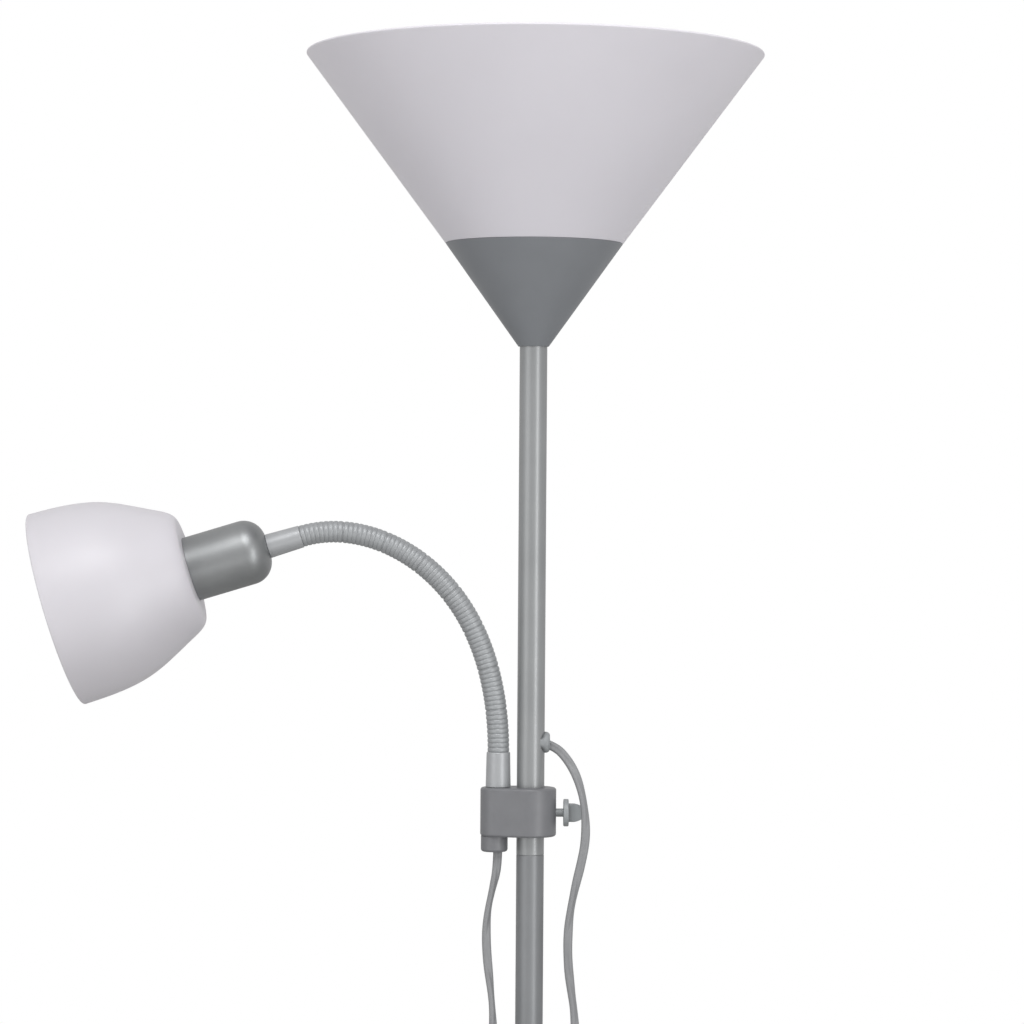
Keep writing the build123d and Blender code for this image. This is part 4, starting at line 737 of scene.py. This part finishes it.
def nylon_finish(name, low, high):
    """Moulded glass-filled nylon between two tones: dull, cloudy, with a fine fibrous grain."""
    return clouded(name, low, high, cloud=8 * MM, cloud_detail=4, skin={"Roughness": 0.42},
                   grain=0.7 * MM, grain_detail=3, grain_strength=0.22, grain_depth=0.06 * MM)


nylon = nylon_finish("mid_grey_nylon", "#656669", "#707174")
light_nylon = nylon_finish("light_grey_nylon", "#84888A", "#909496")
dressed_node("clamp_block", "clamp_moulding", nylon, "clamp", "clamp_paint", sharp=28)
dressed_node("cord_gland", "gland_moulding", nylon, "clamp", "clamp_paint", sharp=28)
thumb_low, thumb_high = (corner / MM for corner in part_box("thumb_screw"))
thumb_height = (thumb_low.z + thumb_high.z) / 2
flange_radius = (thumb_high.z - thumb_low.z) / 2
flange_width = 2.9
screw_radius = 2.25
wing_length = 8.4
wing_start = thumb_high.x - wing_length
flange_start = wing_start - flange_width
thumb_outline = rounded([
    (0, thumb_low.x, 0), (screw_radius, thumb_low.x, 0.4), (screw_radius, flange_start, 0.3),
    (flange_radius, flange_start, 0.7), (flange_radius, wing_start, 0.7), (0, wing_start, 0)], closed=False)
dress(lathe("thumb_screw_shaft", thumb_outline, (0, 0, thumb_height), (1, 0, 0), 96), light_nylon, "thumb",
      "clamp_paint", "thumb_screw")

# The wing is a flat paddle: full height at the flange, drawn in along a curve to a round end. Its section
# is a rounded rectangle, and places along it are shares of its length.
wing_half_height = 5.05
wing_half_width = 1.5
wing_root = 0.5 / wing_length
end_start = 0.86
end_share = 0.14
draw_start = 0.25
draw_share = 0.8
draw_depth = 0.55
wing_run = np.r_[-wing_root, np.linspace(0, end_start, 20),
                 end_start + end_share * np.sin(np.radians(np.linspace(9, 90, 10)))]
drawn_in = 1 - draw_depth * (np.clip(wing_run - draw_start, 0, 1) / draw_share) ** 2
wing_end = np.sqrt(np.clip(1 - (np.clip(wing_run - end_start, 0, 1) / end_share) ** 2, 0, 1))


def squared(wave, power):
    """A sine or cosine that stays longer at its ends, which turns a circle into a rounded rectangle."""
    return np.sign(wave) * np.abs(wave) ** power


turn = np.linspace(0, 2 * np.pi, 64, endpoint=False)
wing = np.empty((len(wing_run), len(turn), 3))
wing[..., 0] = (wing_start + wing_length * wing_run)[:, None]
wing[..., 1] = wing_half_width * wing_end[:, None] * squared(np.cos(turn), 0.5)
wing[..., 2] = thumb_height + wing_half_height * (drawn_in * wing_end)[:, None] * squared(np.sin(turn), 0.4)
dress(surface("thumb_screw_wing", capped(wing), False, True, 60), light_nylon, "thumb", "clamp_paint")

# The grommet is a soft PVC ring in the pole's hole, with a rounded outer flange. It looks matt and plain.
soft_pvc = clouded("grey_soft_pvc", "#7E8183", "#8B8E90", cloud=3 * MM, cloud_detail=3,
                   skin={"Roughness": 0.5})
dressed_node("pole_grommet", "grommet_moulding", soft_pvc, "stand", "grommet_rubber", sharp=35)
paint_node("pole_cable", flex)

# ---------------------------------------------------------------------------
# Gooseneck. A wound metal hose in pale silver: round rings a few millimetres
# apart, stiff enough to hold the head, between two plain turned ferrules.
# ---------------------------------------------------------------------------

# Wound steel strip under a thin silver lacquer: a soft metallic sheen, rubbed duller in places.
hose = clouded("silver_wound_hose", "#8B8D8F", "#9C9FA1", cloud=5 * MM, cloud_detail=4,
               skin={"Metallic": 0.3}, polish=(0.40, 0.50))

arm_x = -17.6
neck_start = 1435.65
link_length = 23.0
link_turns = np.array([7.0, 8.5, 10.5, 13.0, 14.0, 15.0, 17.5, 21.5])
link_heading = 90 + np.r_[0, np.cumsum(link_turns)]
link_chord = 2 * link_length / np.radians(link_turns) * np.sin(np.radians(link_turns / 2))
chord_heading = np.radians(link_heading[:-1] + link_turns / 2)
link_feet = np.c_[arm_x + np.r_[0, np.cumsum(link_chord * np.cos(chord_heading))],
                  neck_start + np.r_[0, np.cumsum(link_chord * np.sin(chord_heading))]]
neck_radius = 5.9
groove_radius = 5.5
link_bore = 5.45
core_radius = 5.35
core_wall = 1.2
core_hold = 2.0
core_reach = 0.9
rings_per_link = 9
ring_steps = 10
link_gap = 0.55


def neck_centre(link, distance):
    """Centre points and headings at distances along one link: a circle's arc that turns at a steady rate."""
    heading = np.radians(link_heading[link])
    rate = np.radians(link_turns[link]) / link_length
    angle = heading + rate * distance
    x = link_feet[link, 0] + (np.sin(angle) - math.sin(heading)) / rate
    z = link_feet[link, 1] - (np.cos(angle) - math.cos(heading)) / rate
    return x, z, angle


def bent_tube(link, distance, radius, steps=56):
    """Rings of given radii along a link: each circle stands square to the neck's line."""
    x, z, angle = neck_centre(link, distance)
    turn = np.linspace(0, 2 * np.pi, steps, endpoint=False)
    out = radius[:, None] * np.cos(turn)
    grid = np.empty((len(distance), steps, 3))
    grid[..., 0] = x[:, None] + out * np.sin(angle)[:, None]
    grid[..., 1] = radius[:, None] * np.sin(turn)
    grid[..., 2] = z[:, None] - out * np.cos(angle)[:, None]
    return grid


neck_bodies = ["arm"] + [f"neck_{number}" for number in range(2, 8)] + ["head"]
for link, body in enumerate(neck_bodies):
    first = 0.0 if link == 0 else link_gap / 2
    last = link_length if link == len(neck_bodies) - 1 else link_length - link_gap / 2
    distance = np.linspace(first, last, rings_per_link * ring_steps + 1)
    phase = np.linspace(0, rings_per_link * np.pi, len(distance))
    radius = groove_radius + (neck_radius - groove_radius) * np.sqrt(np.abs(np.sin(phase)))
    bore_distance = distance[::-ring_steps]
    grid = np.concatenate([bent_tube(link, distance, radius),
                           bent_tube(link, bore_distance, np.full(len(bore_distance), link_bore))])
    ribbed = surface(f"hose_{link + 1}", grid, True, True, 80)
    dress(ribbed, hose, body, "neck_metal", f"neck_link_{link + 1}")
    if link < len(neck_bodies) - 1:
        # A short core bridges the seam to the next link, just inside its bore.
        core_distance = np.linspace(link_length - core_hold, link_length + core_reach, 4)
        core = np.concatenate([
            bent_tube(link, core_distance, np.full(4, core_radius)),
            bent_tube(link, core_distance[::-1], np.full(4, core_radius - core_wall))])
        dress(surface(f"hose_core_{link + 1}", core, True, True, 40), hose, body, "neck_metal")

# Both ferrules are turned aluminium, tapered, with broken edges. Their silver lacquer gives a pale, even
# sheen without the tool's marks.
turned = clouded("lacquered_turned_aluminium", "#989A9C", "#A4A6A8", cloud=6 * MM, cloud_detail=3,
                 skin={"Metallic": 0.3, "Roughness": 0.42})
stem_bore = 2.6
stem_radius = 4.0

ferrule_low, ferrule_high = (corner.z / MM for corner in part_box("arm_ferrule"))
ferrule_foot = 1416.55
ferrule_outline = rounded([
    (stem_bore, ferrule_low, 0), (stem_radius, ferrule_low, 0.3), (stem_radius, ferrule_foot, 0),
    (6.8, ferrule_foot, 0.4), (6.4, ferrule_high, 0.7), (stem_bore, ferrule_high, 0)])
dress(lathe("swivel_ferrule", ferrule_outline, (arm_x, 0, 0), steps=72), turned, "arm",
      "ferrule_paint", "arm_ferrule")
paint_node("arm_nut", zinc)

# ---------------------------------------------------------------------------
# Reading head. A drawn steel cup in satin silver lacquer holds the small
# lampholder; a ring inside the shade clamps its flat back against the cup.
# ---------------------------------------------------------------------------

head_angle = math.radians(link_heading[-1])
head_axis = (math.cos(head_angle), 0.0, math.sin(head_angle))
head_foot = (link_feet[-1, 0], 0.0, link_feet[-1, 1])
cup_back = 19.0
cup_mouth = 64.5
shade_back = 62.5
stem_end = cup_back + 9.0
head_ferrule_outline = rounded([
    (stem_bore, 0, 0), (6.1, 0, 0.5), (6.6, cup_back, 0.4), (stem_radius, cup_back, 0),
    (stem_radius, stem_end, 0.2), (stem_bore, stem_end, 0)])
dress(lathe("head_ferrule_turning", head_ferrule_outline, head_foot, head_axis, 72), turned, "head",
      "ferrule_paint", "head_ferrule")

# Satin silver lacquer on drawn steel: one broad, soft highlight that breaks up over fine metal flakes,
# which are drawn at 0.4 mm so that they show.
satin_silver, tree = new_finish("satin_silver_lacquer")
place = node(tree, "ShaderNodeTexCoord").outputs["Object"]
flake = node(tree, "ShaderNodeTexVoronoi", {"Vector": place, "Scale": 1 / (0.4 * MM)})
cloud = node(tree, "ShaderNodeTexNoise", {"Vector": place, "Scale": 1 / (14 * MM), "Detail": 3})
tone = node(tree, "ShaderNodeMix", {0: cloud.outputs["Fac"], 6: linear("#828485"), 7: linear("#969899")},
            data_type="RGBA")
gloss = node(tree, "ShaderNodeMapRange", {0: flake.outputs["Distance"], 1: 0.0, 2: 0.9, 3: 0.37, 4: 0.45})
skin = node(tree, "ShaderNodeBsdfPrincipled",
            {"Base Color": tone.outputs[2], "Metallic": 0.8, "Roughness": gloss.outputs[0]})
node(tree, "ShaderNodeOutputMaterial", {"Surface": skin.outputs[0]})
cup_radius = 17.65
cup_hole = 4.05
cup_sheet = 1.0
cup_outline = rounded([
    (cup_hole, cup_back, 0), (cup_radius, cup_back, 12.0), (cup_radius, shade_back, 0.3),
    (cup_radius - cup_sheet, shade_back, 0.2), (cup_radius - cup_sheet, cup_back + cup_sheet, 11.0),
    (cup_hole, cup_back + cup_sheet, 0)], step=4.0)
dress(lathe("cup_drawing", cup_outline, head_foot, head_axis, 112), satin_silver, "head", "cup_metal",
      "head_cup")
paint_node("head_holder_cap", ivory)
dressed_node("head_holder", "small_holder_moulding", ivory, "head", "holder_plastic")
dressed_node("head_ring", "small_shade_ring", ivory, "head", "holder_plastic", bevel=0.3)

# The reading shade is the same milky polypropylene, moulded as a bell. Its copy of the finish is darker than
# the bowl's: painted shade.
shaded_bell_milky = milky_finish("milky_polypropylene_bell_painted_shade", "#BEBCC1", "#C4C2C7")
bell_points = np.array([
    (27.0, shade_back), (36.5, cup_mouth + 8), (49.6, cup_mouth + 36.5), (53.8, cup_mouth + 73.65)])


def clamped_spline(points, leave, arrive, steps=24):
    """The smooth cubic line through points that leaves and arrives along two unit directions.

    Each piece is a cubic between two points. The slopes at the inner points follow from the curvature
    being the same on both sides, with the straight distances between points as the measure along it.
    """
    run = np.linalg.norm(np.diff(points, axis=0), axis=1)
    count = len(points)
    system = np.eye(count)
    target = np.zeros_like(points)
    target[0], target[-1] = leave, arrive
    for i in range(1, count - 1):
        before, after = run[i - 1], run[i]
        system[i, i - 1:i + 2] = after, 2 * (before + after), before
        target[i] = 3 * (after / before * (points[i] - points[i - 1])
                         + before / after * (points[i + 1] - points[i]))
    slopes = np.linalg.solve(system, target)
    share = np.linspace(0, 1, steps, endpoint=False)[None, :, None]
    reach = run[:, None, None]
    line = cubic(share, points[:-1, None], reach * slopes[:-1, None], points[1:, None],
                 reach * slopes[1:, None])
    return np.concatenate([line.reshape(-1, 2), points[-1:]])


bell_wall = 1.5
bell_hole = 13.7
bell_skin = clamped_spline(bell_points, (1, 0), (0.02, 1))
bell_slope = np.gradient(bell_skin, axis=0)
bell_slope /= np.linalg.norm(bell_slope, axis=1, keepdims=True)
bell_inside = bell_skin + bell_wall * np.c_[-bell_slope[:, 1], bell_slope[:, 0]]
bell_rim = arc((bell_skin[-1, 0] - bell_wall / 2, bell_skin[-1, 1]), bell_wall / 2, 0, 180, 7)
bell_outline = np.concatenate([
    [(bell_hole, shade_back)], bell_skin, bell_rim[1:-1], bell_inside[::-1],
    [(bell_hole, shade_back + bell_wall)]])
dress(lathe("reading_bell", bell_outline, head_foot, head_axis, 176), shaded_bell_milky, "head",
      "reading_plastic", "reading_shade")
contact_gap = 0.05
small_foot = tuple(np.array(head_foot) + np.array(head_axis) * (shade_back + contact_gap))
bulb_pieces("small_bulb", "bulb_small", small_foot, head_axis, "head", cap_radius=7.0,
            cap_length=21.5, neck_radius=9.0, globe_radius=22.5, length=70.0)

# ---------------------------------------------------------------------------
# Switch. Two grey ABS half shells screwed together from behind, with two
# rockers side by side in a shallow recess; both lamps' cords enter on top.
# ---------------------------------------------------------------------------

# Moulded ABS: a plain satin grey with the fine grain of a spark-eroded tool.
switch_abs = clouded("grey_switch_abs", "#84878A", "#8E9194", cloud=10 * MM, cloud_detail=3,
                     skin={"Roughness": 0.45}, grain=0.6 * MM, grain_strength=0.2, grain_depth=0.05 * MM)
switch_front, switch_back, rocker_left, rocker_right = (
    dressed_node(cad_node, name, switch_abs, body, "switch_plastic", bevel=bevel)
    for cad_node, name, body, bevel in (
        ("switch_front", "switch_front_shell", "stand", 0.25),
        ("switch_back", "switch_back_shell", "stand", 0.25),
        ("rocker_left", "left_rocker", "rocker_l", 0.3),
        ("rocker_right", "right_rocker", "rocker_r", 0.3)))
paint_node("switch_screws", zinc)
paint_node("switch_carrier", black_moulding)

# ---------------------------------------------------------------------------
# Ties and plug. Natural nylon cable ties hold the lead to the pole and the
# coil together; the plug is a flat two-pin moulding with nickel-plated pins.
# ---------------------------------------------------------------------------

# Moulded nylon without pigment: pale, waxy and slightly see-through.
natural_nylon = clouded("natural_nylon", "#BDBDBA", "#CECECB", cloud=4 * MM, cloud_detail=2, skin={
    "Roughness": 0.38, "Subsurface Weight": 0.2, "Subsurface Radius": (1, 1, 1), "Subsurface Scale": 1 * MM})
dressed_node("cable_ties", "pole_ties", natural_nylon, "stand", "tie_nylon", bevel=0.25)
coil_tie = dressed_node("coil_tie", "coil_band", natural_nylon, "stand", "tie_nylon", bevel=0.2)
plug_body = dressed_node("plug_body", "plug_moulding", flex, "stand", "switch_plastic")
plug_pins = dressed_node("plug_pins", "plug_pin_pair", bright, "stand", "pin_brass")
